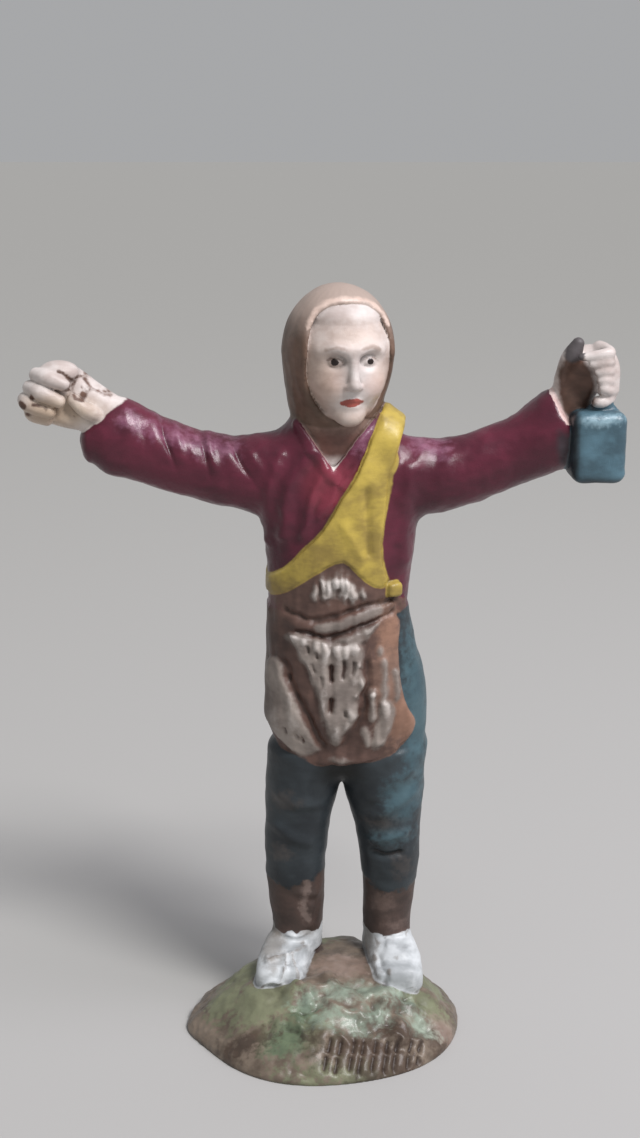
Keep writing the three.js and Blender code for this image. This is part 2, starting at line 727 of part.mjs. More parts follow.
function mound() {
  const profile = [new THREE.Vector2(0, 0)];
  for (const [share, rise] of [...moundProfile].reverse()) {
    profile.push(new THREE.Vector2(share, rise * moundHeight));
  }
  const geometry = new THREE.LatheGeometry(profile, 34).rotateX(Math.PI / 2);
  const place = geometry.attributes.position;
  for (let i = 0; i < place.count; i++) {
    const [x, y, z] = [place.getX(i), place.getY(i), place.getZ(i)];
    const outline = moundOutline(Math.atan2(y, x));
    const [shiftX, shiftY] = moundShift(Math.hypot(x, y), z);
    place.setX(i, shiftX + x * outline * moundHalfWidth);
    place.setY(i, shiftY + y * outline * moundHalfDepth);
  }
  return toSolid(emboss(geometry, moundRelief)).subtract(join(toolCuts()));
}

// A row of short cuts pressed into the front slope, each lying along the slope with its own lean.
function toolCuts() {
  const { from, to, count, width, length, depth } = toolMarks;
  return Array.from({ length: count }, (_, i) => {
    const share = i / (count - 1);
    const x = lerp(from[0], to[0], share);
    const y = lerp(from[1], to[1], share ** 1.8);
    const slope = Math.atan2(moundTop(x, y + 0.6) - moundTop(x, y - 0.6), 1.2);
    const cut = new THREE.BoxGeometry(width, length, 2 * depth).rotateZ(0.45 * Math.sin(2.2 * i));
    return toSolid(cut.rotateX(slope).translate(x, y, moundTop(x, y) + 0.1));
  });
}

// The one fired piece, as a three.js geometry.
const smock = openNeck(join([chest.solid(), fistSleeve.solid(), lanternSleeve.solid()]));
const piece = join([
  mound(),
  shoe(-5.2, -6.7),
  shoe(5.9, 7.2),
  fistLeg.solid(),
  lanternLeg.solid(),
  hips.solid(),
  apron(),
  smock,
  bib(),
  belt(beltFront, false),
  belt(beltRear, true),
  sash(),
  ...collar(),
  neck,
  headPlace(face()),
  headPlace(hair()),
  ...fistHand,
  ...lanternHand,
  ...lanternForms(),
]);
const fired = piece.getMesh();
const geometry = new THREE.BufferGeometry();
geometry.setAttribute("position", new THREE.BufferAttribute(fired.vertProperties, 3));
geometry.setIndex(new THREE.BufferAttribute(fired.triVerts, 1));

// Full height, and the origin on the table under the middle of the overall box.
geometry.computeBoundingBox();
const scale = figureHeight / (geometry.boundingBox.max.z - geometry.boundingBox.min.z);
geometry.scale(scale, scale, scale);
geometry.computeBoundingBox();
const middle = geometry.boundingBox.getCenter(new THREE.Vector3());
geometry.translate(-middle.x, -middle.y, -geometry.boundingBox.min.z);
geometry.computeVertexNormals();

const figure = new THREE.Mesh(geometry, clay);
figure.name = "nativity_figure";

const group = new THREE.Group();
group.add(figure);

export default group;
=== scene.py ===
import itertools
import math
import bpy
import numpy as np
import openvdb
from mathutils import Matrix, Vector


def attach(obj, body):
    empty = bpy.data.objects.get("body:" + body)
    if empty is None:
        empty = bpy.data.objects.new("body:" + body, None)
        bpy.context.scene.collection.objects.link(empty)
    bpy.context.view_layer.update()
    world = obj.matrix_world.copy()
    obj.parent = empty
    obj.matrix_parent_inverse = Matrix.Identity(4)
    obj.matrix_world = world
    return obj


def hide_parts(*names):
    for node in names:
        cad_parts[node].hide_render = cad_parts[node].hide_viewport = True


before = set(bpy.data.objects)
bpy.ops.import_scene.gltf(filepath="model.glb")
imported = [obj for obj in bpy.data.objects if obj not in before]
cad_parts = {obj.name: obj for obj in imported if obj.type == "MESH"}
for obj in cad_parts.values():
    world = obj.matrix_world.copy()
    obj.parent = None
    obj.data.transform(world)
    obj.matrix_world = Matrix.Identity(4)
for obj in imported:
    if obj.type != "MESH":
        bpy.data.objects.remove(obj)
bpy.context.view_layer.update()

# The shepherd is sculpted in millimetres about its own middle line, then set into the frame.
sculpt = {
    "voxel": 0.19,
    "low": (-38.5, -17.0, -1.5),
    "high": (34.5, 17.0, 92.0),
    "farAway": 3.0,
    "shift": (1.962, 0.103, 0.0),
    "faces": 190000,
    "seed": 11,
}
mm = 0.001


# Softening of joins, and smooth curves through a few values
def softMin(a, b, blend):
    if blend <= 0:
        return np.minimum(a, b)
    share = np.clip(0.5 + 0.5 * (b - a) / blend, 0, 1)
    return b + (a - b) * share - blend * share * (1 - share)


def softMax(a, b, blend):
    return -softMin(-a, -b, blend)


def step(value, start, end):
    share = np.clip((value - start) / (end - start), 0, 1)
    return share * share * (3 - 2 * share)


def curve(keys, values, at):
    slopes = np.gradient(values, keys)
    i = np.clip(np.searchsorted(keys, at) - 1, 0, len(keys) - 2)
    span = keys[i + 1] - keys[i]
    t = np.clip((at - keys[i]) / span, 0, 1)
    rise = values[i] + (values[i + 1] - values[i]) * t * t * (3 - 2 * t)
    return rise + span * t * (1 - t) * (slopes[i] * (1 - t) - slopes[i + 1] * t)


def smoothPath(points, parts=5):
    table = np.array(points, float)
    keys = np.arange(len(table), dtype=float)
    at = np.linspace(0, len(table) - 1, (len(table) - 1) * parts + 1)
    return np.stack([curve(keys, table[:, i], at) for i in range(table.shape[1])], axis=1)


def pathDistance(path, a, b):
    nearest = None
    for (a0, b0), (a1, b1) in zip(path, path[1:]):
        da, db = a1 - a0, b1 - b0
        t = np.clip(((a - a0) * da + (b - b0) * db) / (da * da + db * db), 0, 1)
        gap = np.hypot(a - a0 - t * da, b - b0 - t * db)
        nearest = gap if nearest is None else np.minimum(nearest, gap)
    return nearest


def outlineDistance(outline, a, b, parts=4):
    # negative inside the closed outline
    loop = list(outline) + [outline[0]]
    if parts > 1:
        loop = smoothPath(loop, parts)
    inside = np.zeros(np.broadcast(a, b).shape, bool)
    for (a0, b0), (a1, b1) in zip(loop, loop[1:]):
        if b0 != b1:
            crosses = (b0 > b) != (b1 > b)
            inside ^= crosses & (a < a0 + (b - b0) * (a1 - a0) / (b1 - b0))
    gap = pathDistance(loop, a, b)
    return np.where(inside, -gap, gap)


# Forms: each gives its own box and how far a point is from its skin
class Stack:
    # Sections set along x, y or z: (place, middle u, middle v, half u, half v)
    ways = {"x": (0, 2, 1), "y": (1, 0, 2), "z": (2, 0, 1)}

    def __init__(self, sections, along="z", square=2.0, caps=(1.0, 1.0)):
        self.table = np.array(sections, float)
        self.table = self.table[np.argsort(self.table[:, 0])]
        self.along, self.square, self.caps = along, square, caps

    def grow(self, deep, wide=None):
        bigger = Stack(self.table, self.along, self.square, tuple(cap + deep for cap in self.caps))
        bigger.table[:, 3] += deep if wide is None else wide
        bigger.table[:, 4] += deep
        return bigger

    def values(self, s):
        keys = self.table[:, 0]
        return [curve(keys, self.table[:, i], s) for i in (1, 2, 3, 4)]

    def box(self):
        way = self.ways[self.along]
        low, high = np.zeros(3), np.zeros(3)
        low[way[0]] = self.table[0, 0] - self.caps[0]
        high[way[0]] = self.table[-1, 0] + self.caps[1]
        for place, half, axis in ((1, 3, way[1]), (2, 4, way[2])):
            low[axis] = (self.table[:, place] - self.table[:, half]).min()
            high[axis] = (self.table[:, place] + self.table[:, half]).max()
        return low - 0.4, high + 0.4

    def distance(self, x, y, z):
        point = (x, y, z)
        way = self.ways[self.along]
        along, across, through = (point[i] for i in way)
        s = np.clip(along, self.table[0, 0], self.table[-1, 0])
        cu, cv, hu, hv = self.values(s)
        beside = 0.1
        after, before = self.values(s + beside), self.values(s - beside)
        leanU, leanV = (after[0] - before[0]) / (2 * beside), (after[1] - before[1]) / (2 * beside)
        beyond = along - s
        cap = np.where(beyond < 0, self.caps[0], self.caps[1])
        u, v, w = (across - cu) / hu, (through - cv) / hv, beyond / cap
        q = self.square
        reach = (np.abs(u) ** q + np.abs(v) ** q + np.abs(w) ** q) ** (1 / q)
        safe = np.maximum(reach, 0.05)
        gu = np.sign(u) * (np.abs(u) / safe) ** (q - 1) / hu
        gv = np.sign(v) * (np.abs(v) / safe) ** (q - 1) / hv
        gs = np.sign(w) * (np.abs(w) / safe) ** (q - 1) / cap - gu * leanU - gv * leanV
        return (reach - 1) / np.sqrt(gu**2 + gv**2 + gs**2 + 1e-4)

    def on(self, x, z, lift=0.0, rear=False):
        # a point on an upright stack's skin, lifted off it
        cu, cv, hu, hv = (float(value) for value in self.values(np.array(z, float)))
        side = np.clip((x - cu) / hu, -0.98, 0.98)
        deep = (1 - abs(side) ** self.square) ** (1 / self.square)
        facing = 1.0 if rear else -1.0
        across = np.sign(side) * abs(side) ** (self.square - 1) / hu
        through = facing * deep ** (self.square - 1) / hv
        size = math.hypot(across, through)
        return (cu + side * hu + lift * across / size, cv + facing * deep * hv + lift * through / size, z)


class Roll:
    # A roll of clay through a few points, with its radius at each; flat squeezes it front to back
    def __init__(self, points, radii, flat=1.0, parts=5):
        radii = np.broadcast_to(radii, len(points))
        self.path = smoothPath([(*p, r) for p, r in zip(points, radii)], parts)
        self.flat = flat

    def box(self):
        reach = self.path[:, 3].max()
        return self.path[:, :3].min(0) - reach, self.path[:, :3].max(0) + reach

    def distance(self, x, y, z):
        nearest = None
        for (ax, ay, az, ar), (bx, by, bz, br) in zip(self.path, self.path[1:]):
            dx, dy, dz = bx - ax, by - ay, bz - az
            t = ((x - ax) * dx + (y - ay) * dy + (z - az) * dz) / (dx * dx + dy * dy + dz * dz)
            t = np.clip(t, 0, 1)
            ox, oy, oz = x - ax - t * dx, (y - ay - t * dy) / self.flat, z - az - t * dz
            gap = np.sqrt(ox**2 + oy**2 + oz**2) - ar - t * (br - ar)
            nearest = gap if nearest is None else np.minimum(nearest, gap)
        return nearest


class Egg:
    def __init__(self, at, halves):
        self.at, self.halves = np.array(at, float), np.array(halves, float)

    def box(self):
        return self.at - self.halves, self.at + self.halves

    def distance(self, x, y, z):
        u, v, w = ((p - c) / h for p, c, h in zip((x, y, z), self.at, self.halves))
        a, b, c = self.halves
        reach = np.sqrt(u * u + v * v + w * w)
        slope = np.sqrt((u / a) ** 2 + (v / b) ** 2 + (w / c) ** 2)
        return reach * (reach - 1) / np.maximum(slope, 1e-3)


class Block:
    # A box with rounded corners, turned about its own upright axis
    def __init__(self, at, halves, corner, turn):
        self.at, self.halves, self.corner = np.array(at, float), np.array(halves, float), corner
        self.cos, self.sin = math.cos(turn), math.sin(turn)

    def box(self):
        reach = self.halves[:2].sum()
        out = np.array((reach, reach, self.halves[2]))
        return self.at - out, self.at + out

    def distance(self, x, y, z):
        dx, dy, dz = x - self.at[0], y - self.at[1], z - self.at[2]
        u = np.abs(self.cos * dx + self.sin * dy) - self.halves[0] + self.corner
        v = np.abs(self.cos * dy - self.sin * dx) - self.halves[1] + self.corner
        w = np.abs(dz) - self.halves[2] + self.corner
        outside = np.sqrt(np.maximum(u, 0) ** 2 + np.maximum(v, 0) ** 2 + np.maximum(w, 0) ** 2)
        return outside + np.minimum(np.maximum(np.maximum(u, v), w), 0) - self.corner


class Beyond:
    # All that lies past a plane: a point on it, and the way out
    def __init__(self, at, way):
        self.at, self.way = at, way

    def distance(self, x, y, z):
        (px, py, pz), (nx, ny, nz) = self.at, self.way
        return -((x - px) * nx + (y - py) * ny + (z - pz) * nz) / math.hypot(nx, ny, nz)


class Layer:
    # Cloth or fleece laid over a form: its outline as seen from the front, and where it stops in depth
    def __init__(self, form, outline, fromY, toY, soft=0.35, parts=4, wave=0.0):
        self.form, self.outline, self.parts, self.wave = form, outline, parts, wave
        self.fromY, self.toY, self.soft = fromY, toY, soft

    def box(self):
        low, high = self.form.box()
        flat = np.array(self.outline)
        low = np.maximum(low, (flat[:, 0].min() - 0.5, self.fromY, flat[:, 1].min() - 0.5))
        high = np.minimum(high, (flat[:, 0].max() + 0.5, self.toY + self.wave, flat[:, 1].max() + 0.5))
        return low, high

    def distance(self, x, y, z):
        edge = outlineDistance(self.outline, x, z, self.parts)
        rearEdge = self.toY + self.wave * np.sin(1.1 * z + 0.8 * np.sin(0.7 * z))
        edge = np.maximum(edge, np.maximum(self.fromY - y, y - rearEdge))
        return softMax(self.form.distance(x, y, z), edge, self.soft)


class Minus:
    # A form with another taken out of it
    def __init__(self, form, taken, soft):
        self.form, self.taken, self.soft = form, taken, soft

    def box(self):
        return self.form.box()

    def distance(self, x, y, z):
        return softMax(self.form.distance(x, y, z), -self.taken.distance(x, y, z), self.soft)


class Window:
    # An opening, squarer above than below, that goes back as far as a given depth
    powers = (2.7, 2.0)

    def __init__(self, middle, wide, above, below, depth):
        self.middle, self.wide, self.above, self.below, self.depth = middle, wide, above, below, depth

    def edge(self, x, z):
        up = z > self.middle
        power = np.where(up, *self.powers)
        rise = np.abs(z - self.middle) / np.where(up, self.above, self.below)
        return ((np.abs(x / self.wide) ** power + rise**power) ** (1 / power) - 1) * self.wide

    def distance(self, x, y, z):
        return np.maximum(self.edge(x, z), y - self.depth)


class Turned:
    # A form in the head's own frame
    def __init__(self, form):
        self.form = form

    def box(self):
        low, high = self.form.box()
        corners = [fromHead(*corner) for corner in itertools.product(*zip(low, high))]
        return np.min(corners, axis=0), np.max(corners, axis=0)

    def distance(self, x, y, z):
        return self.form.distance(*toHead(x, y, z))


# The smock: chest, folds from the neck, and two loose sleeves
smock = {
    "chest": Stack(
        [(50.5, -0.3, 3.2, 8.0, 5.6), (55, -0.2, 3.2, 8.15, 5.6), (60, 0, 3.1, 8.6, 5.8),
         (64, 0, 3, 8.85, 5.7), (67.5, 0, 3, 8.9, 5.4), (70.5, 0, 3, 8.2, 5.0), (73, -0.1, 3, 6.6, 4.6),
         (75, -0.1, 3, 5.5, 4.3)], square=2.35, caps=(1, 1.4)),
    "fistSleeve": Stack(
        [(-28.3, 72.5, 2.6, 2.95, 2.7), (-26.6, 72.45, 2.7, 4.15, 3.4), (-24.3, 72.3, 2.8, 4.55, 3.6),
         (-20.3, 70.65, 2.9, 4.3, 3.8), (-15.8, 69.2, 3, 4.05, 3.9), (-11.5, 68.35, 3, 4.25, 4.1),
         (-7.5, 68.1, 3, 5.0, 4.4), (-2, 68.6, 3, 5.2, 4.4)], along="x", caps=(1.3, 1.0)),
    "fistCuff": ((-27.2, 3, 75.1), (-0.64, -0.1, 0.77)),
    "lanternSleeve": Stack(
        [(2, 68.4, 3, 5.0, 4.4), (8, 67.9, 3, 4.6, 4.3), (11.6, 68.1, 3, 4.25, 4.1),
         (15.9, 69.2, 3, 4.15, 3.9), (20.2, 71.2, 2.9, 4.2, 3.8), (23.2, 73.0, 2.8, 4.9, 3.9),
         (25.6, 74.0, 2.7, 5.0, 3.8)], along="x", caps=(1.0, 0.8)),
    "lanternCuff": ((23.7, 3, 78.2), (0.85, -0.1, 0.52)),
    "neckOpening": [(-0.8, 69.0), (-3.0, 72.0), (-4.9, 74.6), (-5.1, 79), (5.6, 79), (4.3, 75.2),
                    (2.0, 72.6)],
    "openingDepth": 0.9,
    "collar": 0.42,
    "join": 1.5,
}
neck = Stack([(69, 0.1, 2.9, 4.4, 3.9), (74, 0, 2.7, 4.6, 4.0), (79, 0, 2.5, 4.8, 4.6)])


# The sash over the lantern-side shoulder, with a small knot at the belt
sash = {
    # thickness in front or behind, and at the sides
    "thickness": (0.75, 0.25),
    "rearThickness": (0.5, 0.2),
    "front": [
        (5.0, 77.4), (4.8, 75.2), (3.6, 72.9), (2.5, 70.5), (1.7, 68.6), (0.2, 66.5), (-1.9, 62.9),
        (-4.1, 60.6), (-5.8, 58.6), (-7.2, 57.5), (-8.4, 56.7), (-9.8, 56.0), (-9.8, 54.4), (-8.0, 54.8),
        (-6.3, 55.5), (-4.7, 56.6), (-3.2, 57.7), (-1.5, 58.8), (0.3, 59.5), (1.8, 58.2), (2.9, 57.1),
        (3.9, 56.4), (4.8, 56.2), (5.4, 56.9), (4.9, 58.4), (4.6, 61.4), (5.1, 65.3), (5.4, 69.2),
        (6.2, 72.6), (7.2, 74.8), (7.3, 77.4),
    ],
    "rear": [(5.0, 77.4), (-8.9, 56.5), (-9.8, 55.7), (-9.8, 54.4), (-8.9, 54.6), (7.2, 74.4), (7.3, 77.4)],
    "strap": [(4.5, -0.9, 70.0), (5.0, -1.45, 72.2), (5.6, -0.8, 74.0), (6.0, 1.0, 75.1), (6.0, 3.0, 75.3),
              (5.4, 5.2, 74.2), (3.9, 6.9, 72.4), (2.3, 7.5, 70.4)],
    "strapStrands": (-0.75, 0.0, 0.75),
    "strapHalf": 0.55,
    "knot": (5.9, 55.7),
}


# The fleece: bib, rolled belt and three panels with wool left standing on them
fleece = {
    # thickness in front, and at the sides
    "apronThickness": (0.7, 0.3),
    "bibThickness": (0.5, 0.2),
    "hips": Stack(
        [(36.2, 1.2, 3.6, 8.85, 5.2), (39.6, 0.9, 3.4, 9.35, 5.9), (43.3, 0.85, 3.3, 9.25, 6.0),
         (45, 0.65, 3.25, 9.1, 5.9), (47, 0.4, 3.2, 8.7, 5.7), (49.5, 0.1, 3.2, 8.45, 5.55),
         (52.5, -0.15, 3.2, 8.05, 5.4)], square=2.35, caps=(4.6, 1)),
    "apron": [(-10.5, 39.4), (-8.4, 38.0), (-7.3, 36.5), (-4.6, 34.9), (0, 34.4), (4.2, 35.2), (7.4, 36.8),
              (8.9, 39.1), (7.8, 41.4), (7.0, 44.0), (6.6, 48.5), (6.3, 52.5), (0, 53.5), (-10.5, 53.5)],
    "bib": [(-9.8, 52.0), (-9.8, 55.2), (-4.6, 57.8), (-0.8, 59.6), (1.2, 59.4), (3.2, 57.7), (5.2, 56.6),
            (6.6, 54.9), (6.7, 52.6)],
    "beltFront": [(-7.9, 52.6, 0.35), (-5.0, 51.7, 0.7), (-2.6, 51.5, 0.9), (0, 52.0, 1.05),
                  (2.6, 52.9, 0.9), (5.6, 53.8, 0.55), (7.2, 54.1, 0.35)],
    "beltRear": [(-7.6, 53.2, 0.5), (-3, 52.6, 0.75), (3, 52.8, 0.75), (7.1, 53.8, 0.5)],
    # wool left standing: outline, rise
    "wedge": [
        (-5.9, 50.6), (-4.4, 50.8), (-2.3, 50.2), (-0.5, 49.8), (2.1, 49.7), (2.7, 47.9), (2.3, 46.8),
        (2.8, 45.5), (2.7, 44.1), (1.9, 43.1), (2.2, 41.3), (1.2, 39.9), (-0.4, 37.2), (-1.0, 37.8),
        (-1.6, 39.9), (-2.9, 44.3), (-3.9, 46.8), (-5.0, 48.6),
    ],
    "panel": [
        (-9.6, 44.6), (-8.6, 46.4), (-7.4, 47.3), (-6.8, 46.8), (-6.3, 45.4), (-5.6, 43.7), (-4.1, 40.7),
        (-3.1, 38.4), (-2.2, 36.6), (-3.1, 35.9), (-4.6, 35.4), (-6.3, 36.6), (-8.1, 38.4), (-9.8, 41.0),
    ],
    "lobe": [(-0.5, 50.1), (0.6, 50.7), (2.1, 51.0), (3.7, 51.8), (4.9, 52.4), (3.8, 51.1), (2.8, 49.9),
             (1.3, 49.6)],
    "flap": [(4.6, 42.8), (5.8, 43.0), (6.3, 41.6), (6.0, 39.4), (5.2, 37.8), (4.3, 37.0), (3.9, 38.4),
             (4.3, 40.4)],
    "cluster": [(-2.2, 55.1), (-2.0, 57.0), (-0.4, 57.6), (0.9, 57.5), (1.9, 56.3), (1.9, 55.0),
                (0.3, 55.3), (-1.0, 54.9)],
    "rises": {"wedge": 0.42, "panel": 0.42, "lobe": 0.35, "flap": 0.34, "cluster": 0.22},
    # tufts: middle x, z, half width, half height, rise
    "tufts": [
        (-2.8, 55.6, 0.38, 0.8, 0.5), (-1.9, 56.6, 0.34, 1.0, 0.55), (-1.2, 56.2, 0.34, 1.2, 0.55),
        (-0.5, 57.1, 0.34, 0.9, 0.55), (-1.6, 55.2, 0.45, 0.45, 0.4), (0.15, 57.0, 0.3, 1.0, 0.5),
        (0.8, 56.7, 0.36, 1.1, 0.6), (1.5, 55.7, 0.4, 1.0, 0.52), (0.6, 55.3, 0.32, 0.6, 0.35),
        (2.5, 55.6, 0.4, 0.75, 0.45), (-5.3, 50.2, 0.9, 0.5, 0.34), (-4.0, 49.9, 0.6, 0.8, 0.34),
        (-2.7, 49.3, 0.5, 1.0, 0.42), (-1.6, 49.0, 0.5, 1.0, 0.45), (-0.4, 49.1, 0.55, 1.0, 0.42),
        (0.7, 48.8, 0.45, 0.8, 0.4), (1.7, 49.2, 0.55, 0.6, 0.4), (2.4, 47.3, 0.4, 0.5, 0.4),
        (2.5, 45.0, 0.45, 0.55, 0.42), (2.0, 43.6, 0.45, 0.45, 0.4), (1.3, 41.5, 0.6, 0.9, 0.3),
        (4.7, 48.5, 0.45, 0.5, 0.3), (3.7, 43.9, 0.5, 0.45, 0.5), (5.0, 41.6, 0.5, 0.8, 0.2),
        (0.1, 35.2, 0.9, 0.3, 0.4), (4.3, 37.4, 0.7, 0.9, 0.22), (-0.3, 39.0, 0.45, 1.2, 0.2),
        (0.8, 40.0, 0.4, 0.8, 0.2), (-1.9, 41.5, 0.35, 1.4, 0.15), (1.4, 45.8, 0.4, 0.9, 0.2),
    ],
    # strands: path, half width, height
    "strands": [
        ([(4.9, 47.2), (5.1, 45.2), (5.0, 42.6)], 0.5, 0.4),
        ([(3.7, 43.6), (3.7, 42.4), (3.8, 40.9)], 0.5, 0.45),
        ([(6.5, 46.0), (6.6, 44.6), (6.5, 43.2)], 0.3, 0.25),
        ([(2.8, 39.4), (3.0, 38.4), (3.2, 37.4)], 0.5, 0.22),
    ],
    "grooves": [
        ([(-6.4, 47.0), (-5.9, 45.4), (-5.1, 43.6), (-3.7, 40.8), (-2.6, 38.4), (-1.8, 36.9)], 0.5, -0.5),
        ([(3.2, 47.4), (3.3, 45.4), (2.9, 43.2), (2.6, 41.0), (1.6, 38.9), (0.3, 36.9)], 0.55, -0.4),
        ([(-6.2, 53.2), (-3.1, 52.3), (-0.5, 53.0), (2.1, 53.9), (6.1, 54.5)], 0.34, -0.45),
        ([(-4.9, 50.9), (-1.8, 50.4), (0.3, 51.0), (3.1, 51.9), (6.0, 53.0)], 0.28, -0.4),
    ],
    "slits": [
        ([(-1.1, 46.9), (-1.1, 45.4)], 0.3, -0.6), ([(0.4, 47.7), (0.4, 45.8)], 0.24, -0.5),
        ([(-1.0, 43.0), (-1.0, 41.6)], 0.36, -0.6), ([(-2.8, 48.7), (-2.6, 48.0)], 0.18, -0.35),
        ([(-3.9, 49.3), (-3.7, 48.6)], 0.18, -0.35), ([(0.6, 41.7), (0.7, 41.2)], 0.2, -0.35),
        ([(1.6, 47.6), (1.5, 46.2)], 0.2, -0.4), ([(-0.4, 56.0), (-0.3, 55.4)], 0.2, -0.3),
        ([(6.3, 54.7), (6.7, 53.6), (6.8, 52.4)], 0.35, -0.45), ([(-6.0, 45.4), (-5.9, 45.0)], 0.2, -0.35),
        ([(-4.4, 38.2), (-4.2, 37.6)], 0.2, -0.35), ([(-6.4, 39.0), (-6.2, 38.5)], 0.18, -0.3),
        ([(-4.9, 38.4), (-4.7, 37.9)], 0.18, -0.3), ([(-2.2, 45.8), (-2.0, 44.8)], 0.16, -0.25),
        ([(-3.2, 47.2), (-2.9, 46.4)], 0.16, -0.25),
    ],
}


# Legs in breeches to below the knee, bare shins, and blunt shoes
legs = {
    "fist": Stack(
        [(8.5, -5.0, 5.0, 3.0, 3.0), (12, -5.05, 5.0, 3.15, 3.1), (15.2, -5.2, 4.8, 3.4, 3.2),
         (21, -5.3, 4.3, 3.62, 3.5), (26.5, -4.85, 4.0, 3.95, 3.9), (31, -4.3, 3.8, 4.5, 4.5),
         (35, -3.8, 3.6, 4.6, 5.0)], square=2.1),
    "lantern": Stack(
        [(8.5, 5.9, 5.0, 2.85, 2.9), (12.2, 5.95, 5.0, 2.95, 3.0), (15.5, 6.17, 4.8, 3.12, 3.1),
         (20, 6.2, 4.3, 3.45, 3.4), (25, 5.9, 4.0, 3.9, 3.8), (30, 5.35, 3.8, 4.75, 4.5),
         (35, 5.15, 3.6, 4.95, 5.0)], square=2.1),
    # height of the hem at some places across
    "hem": ((-9, -6.2, -4.2, -2.5, 3.3, 5.3, 7.6, 9.6), (18.2, 17.3, 17.9, 18.7, 17.9, 16.7, 16.8, 17.4)),
    "hemRise": 0.1,
    "folds": [
        ([(4.3, 24.0), (5.8, 24.5), (7.6, 25.1)], 0.7, 0.5),
        ([(4.2, 22.2), (5.6, 21.9), (7.3, 22.2)], 0.42, -0.6),
        ([(4.3, 27.4), (6.2, 28.8), (8.5, 30.1)], 0.8, 0.4),
        ([(3.6, 30.2), (5.6, 32.0), (8.0, 33.0)], 0.9, 0.3),
        ([(-7.2, 25.6), (-5.6, 24.3), (-3.8, 23.7)], 0.8, 0.35),
        ([(-6.8, 29.8), (-5.0, 28.9), (-3.2, 28.8)], 0.8, 0.3),
        ([(-4.6, 16.6), (-3.0, 16.2)], 0.6, 0.3), ([(-3.3, 14.6), (-3.6, 12.0)], 0.5, 0.25),
    ],
}


def shoe(heelX, toeX):
    # from heel to toe: y, share of the way to the toe's x, height, half width, half height
    places = [(7.1, 0, 7.55, 2.7, 2.3), (4.1, 0.35, 8.05, 2.95, 2.8), (0.9, 0.8, 7.45, 3.15, 2.4),
              (-1.5, 1, 6.75, 3.0, 1.9)]
    sections = [(y, heelX + (toeX - heelX) * share, z, wide, tall) for y, share, z, wide, tall in places]
    return Stack(sections, along="y", square=2.8, caps=(1.5, 1.6))


# The head, turned a little to the lantern side; the face is calm and of plain proportions
head = {
    "turn": math.radians(13),
    "back": 2.2,
    "skull": Stack(
        [(76.4, 0, -0.6, 3.4, 4.6), (78.6, 0, -0.2, 4.7, 5.7), (81.2, 0, 0, 5.4, 6.2),
         (83.8, 0, 0.1, 5.5, 6.3), (86, 0, 0.2, 4.6, 5.5)], square=2.05, caps=(1.6, 3.0)),
    "hair": Stack(
        [(73.2, -0.3, 0.9, 4.7, 3.7), (76.4, -0.35, 0.9, 5.35, 5.1), (79.4, -0.25, 0.5, 5.95, 5.9),
         (82.4, -0.2, 0.2, 6.35, 6.7)], caps=(1, 7.6)),
    "opening": Window(81.5, 4.75, 6.6, 6.6, 0.5),
    "eyeLine": 82.06,
    "eyeSpacing": 2.0,
    "noseTip": 79.2,
    "mouthLine": 77.5,
    "chin": 75.7,
}


def toHead(x, y, z):
    c, s = math.cos(head["turn"]), math.sin(head["turn"])
    return c * x + s * (y - head["back"]), c * (y - head["back"]) - s * x, z


def fromHead(x, y, z):
    c, s = math.cos(head["turn"]), math.sin(head["turn"])
    return c * x - s * y, s * x + c * y + head["back"], z


def faceForms():
    skull, eyeLine, nose, mouth = head["skull"], head["eyeLine"], head["noseTip"], head["mouthLine"]
    spacing = head["eyeSpacing"]
    # across from the eye's middle or the face's, up from the eye line, lift off the skull
    lidShape = (-0.95, 0.05, -0.3), (-0.2, 0.4, -0.12), (0.5, 0.33, -0.16), (1.0, -0.05, -0.3)
    browShape = (0.7, 1.15, -0.1), (2.1, 1.5, -0.05), (3.5, 1.0, -0.25)
    added, carved, eyes = [], [], []
    for side in (-1, 1):
        carved.append((Egg(skull.on(side * spacing, eyeLine, 0.1), (1.25, 0.85, 0.8)), 0.7))
        eyes.append(Egg(skull.on(side * spacing, eyeLine - 0.05, -0.82), (1.0, 0.7, 0.62)))
        lid = [skull.on(side * (spacing + dx), eyeLine + dz, lift) for dx, dz, lift in lidShape]
        added.append((Roll(lid, (0.12, 0.24, 0.24, 0.12)), 0.2))
        brow = [skull.on(side * x, eyeLine + dz, lift) for x, dz, lift in browShape]
        added.append((Roll(brow, (0.4, 0.45, 0.3)), 0.9))
        added.append((Egg(skull.on(side * 2.7, nose + 0.3, -1.5), (1.9, 1.8, 1.9)), 1.2))
        added.append((Egg(skull.on(side * 0.62, nose + 0.05, 0.15), (0.42, 0.55, 0.36)), 0.3))
    bridge = [skull.on(0, height, lift)
              for height, lift in ((eyeLine + 0.9, -0.3), ((eyeLine + nose) / 2, 0.25), (nose + 0.3, 0.62))]
    added.append((Roll(bridge, (0.45, 0.52, 0.66)), 0.5))
    for dz, half, radius, lift in ((0.3, 1.25, 0.28, 0.06), (-0.34, 1.0, 0.36, 0.02)):
        lip = [skull.on(x, mouth + dz - 0.12 * abs(x), lift - 0.12 * abs(x))
               for x in (-half, -half / 2, 0, half / 2, half)]
        added.append((Roll(lip, (0.14, radius * 0.9, radius, radius * 0.9, 0.14)), 0.22))
    added.append((Egg(skull.on(0, head["chin"] + 0.1, -0.75), (1.5, 1.2, 1.2)), 1.0))
    added = [("skin", Turned(form), blend) for form, blend in added]
    return added, [(Turned(form), blend) for form, blend in carved], [Turned(form) for form in eyes]


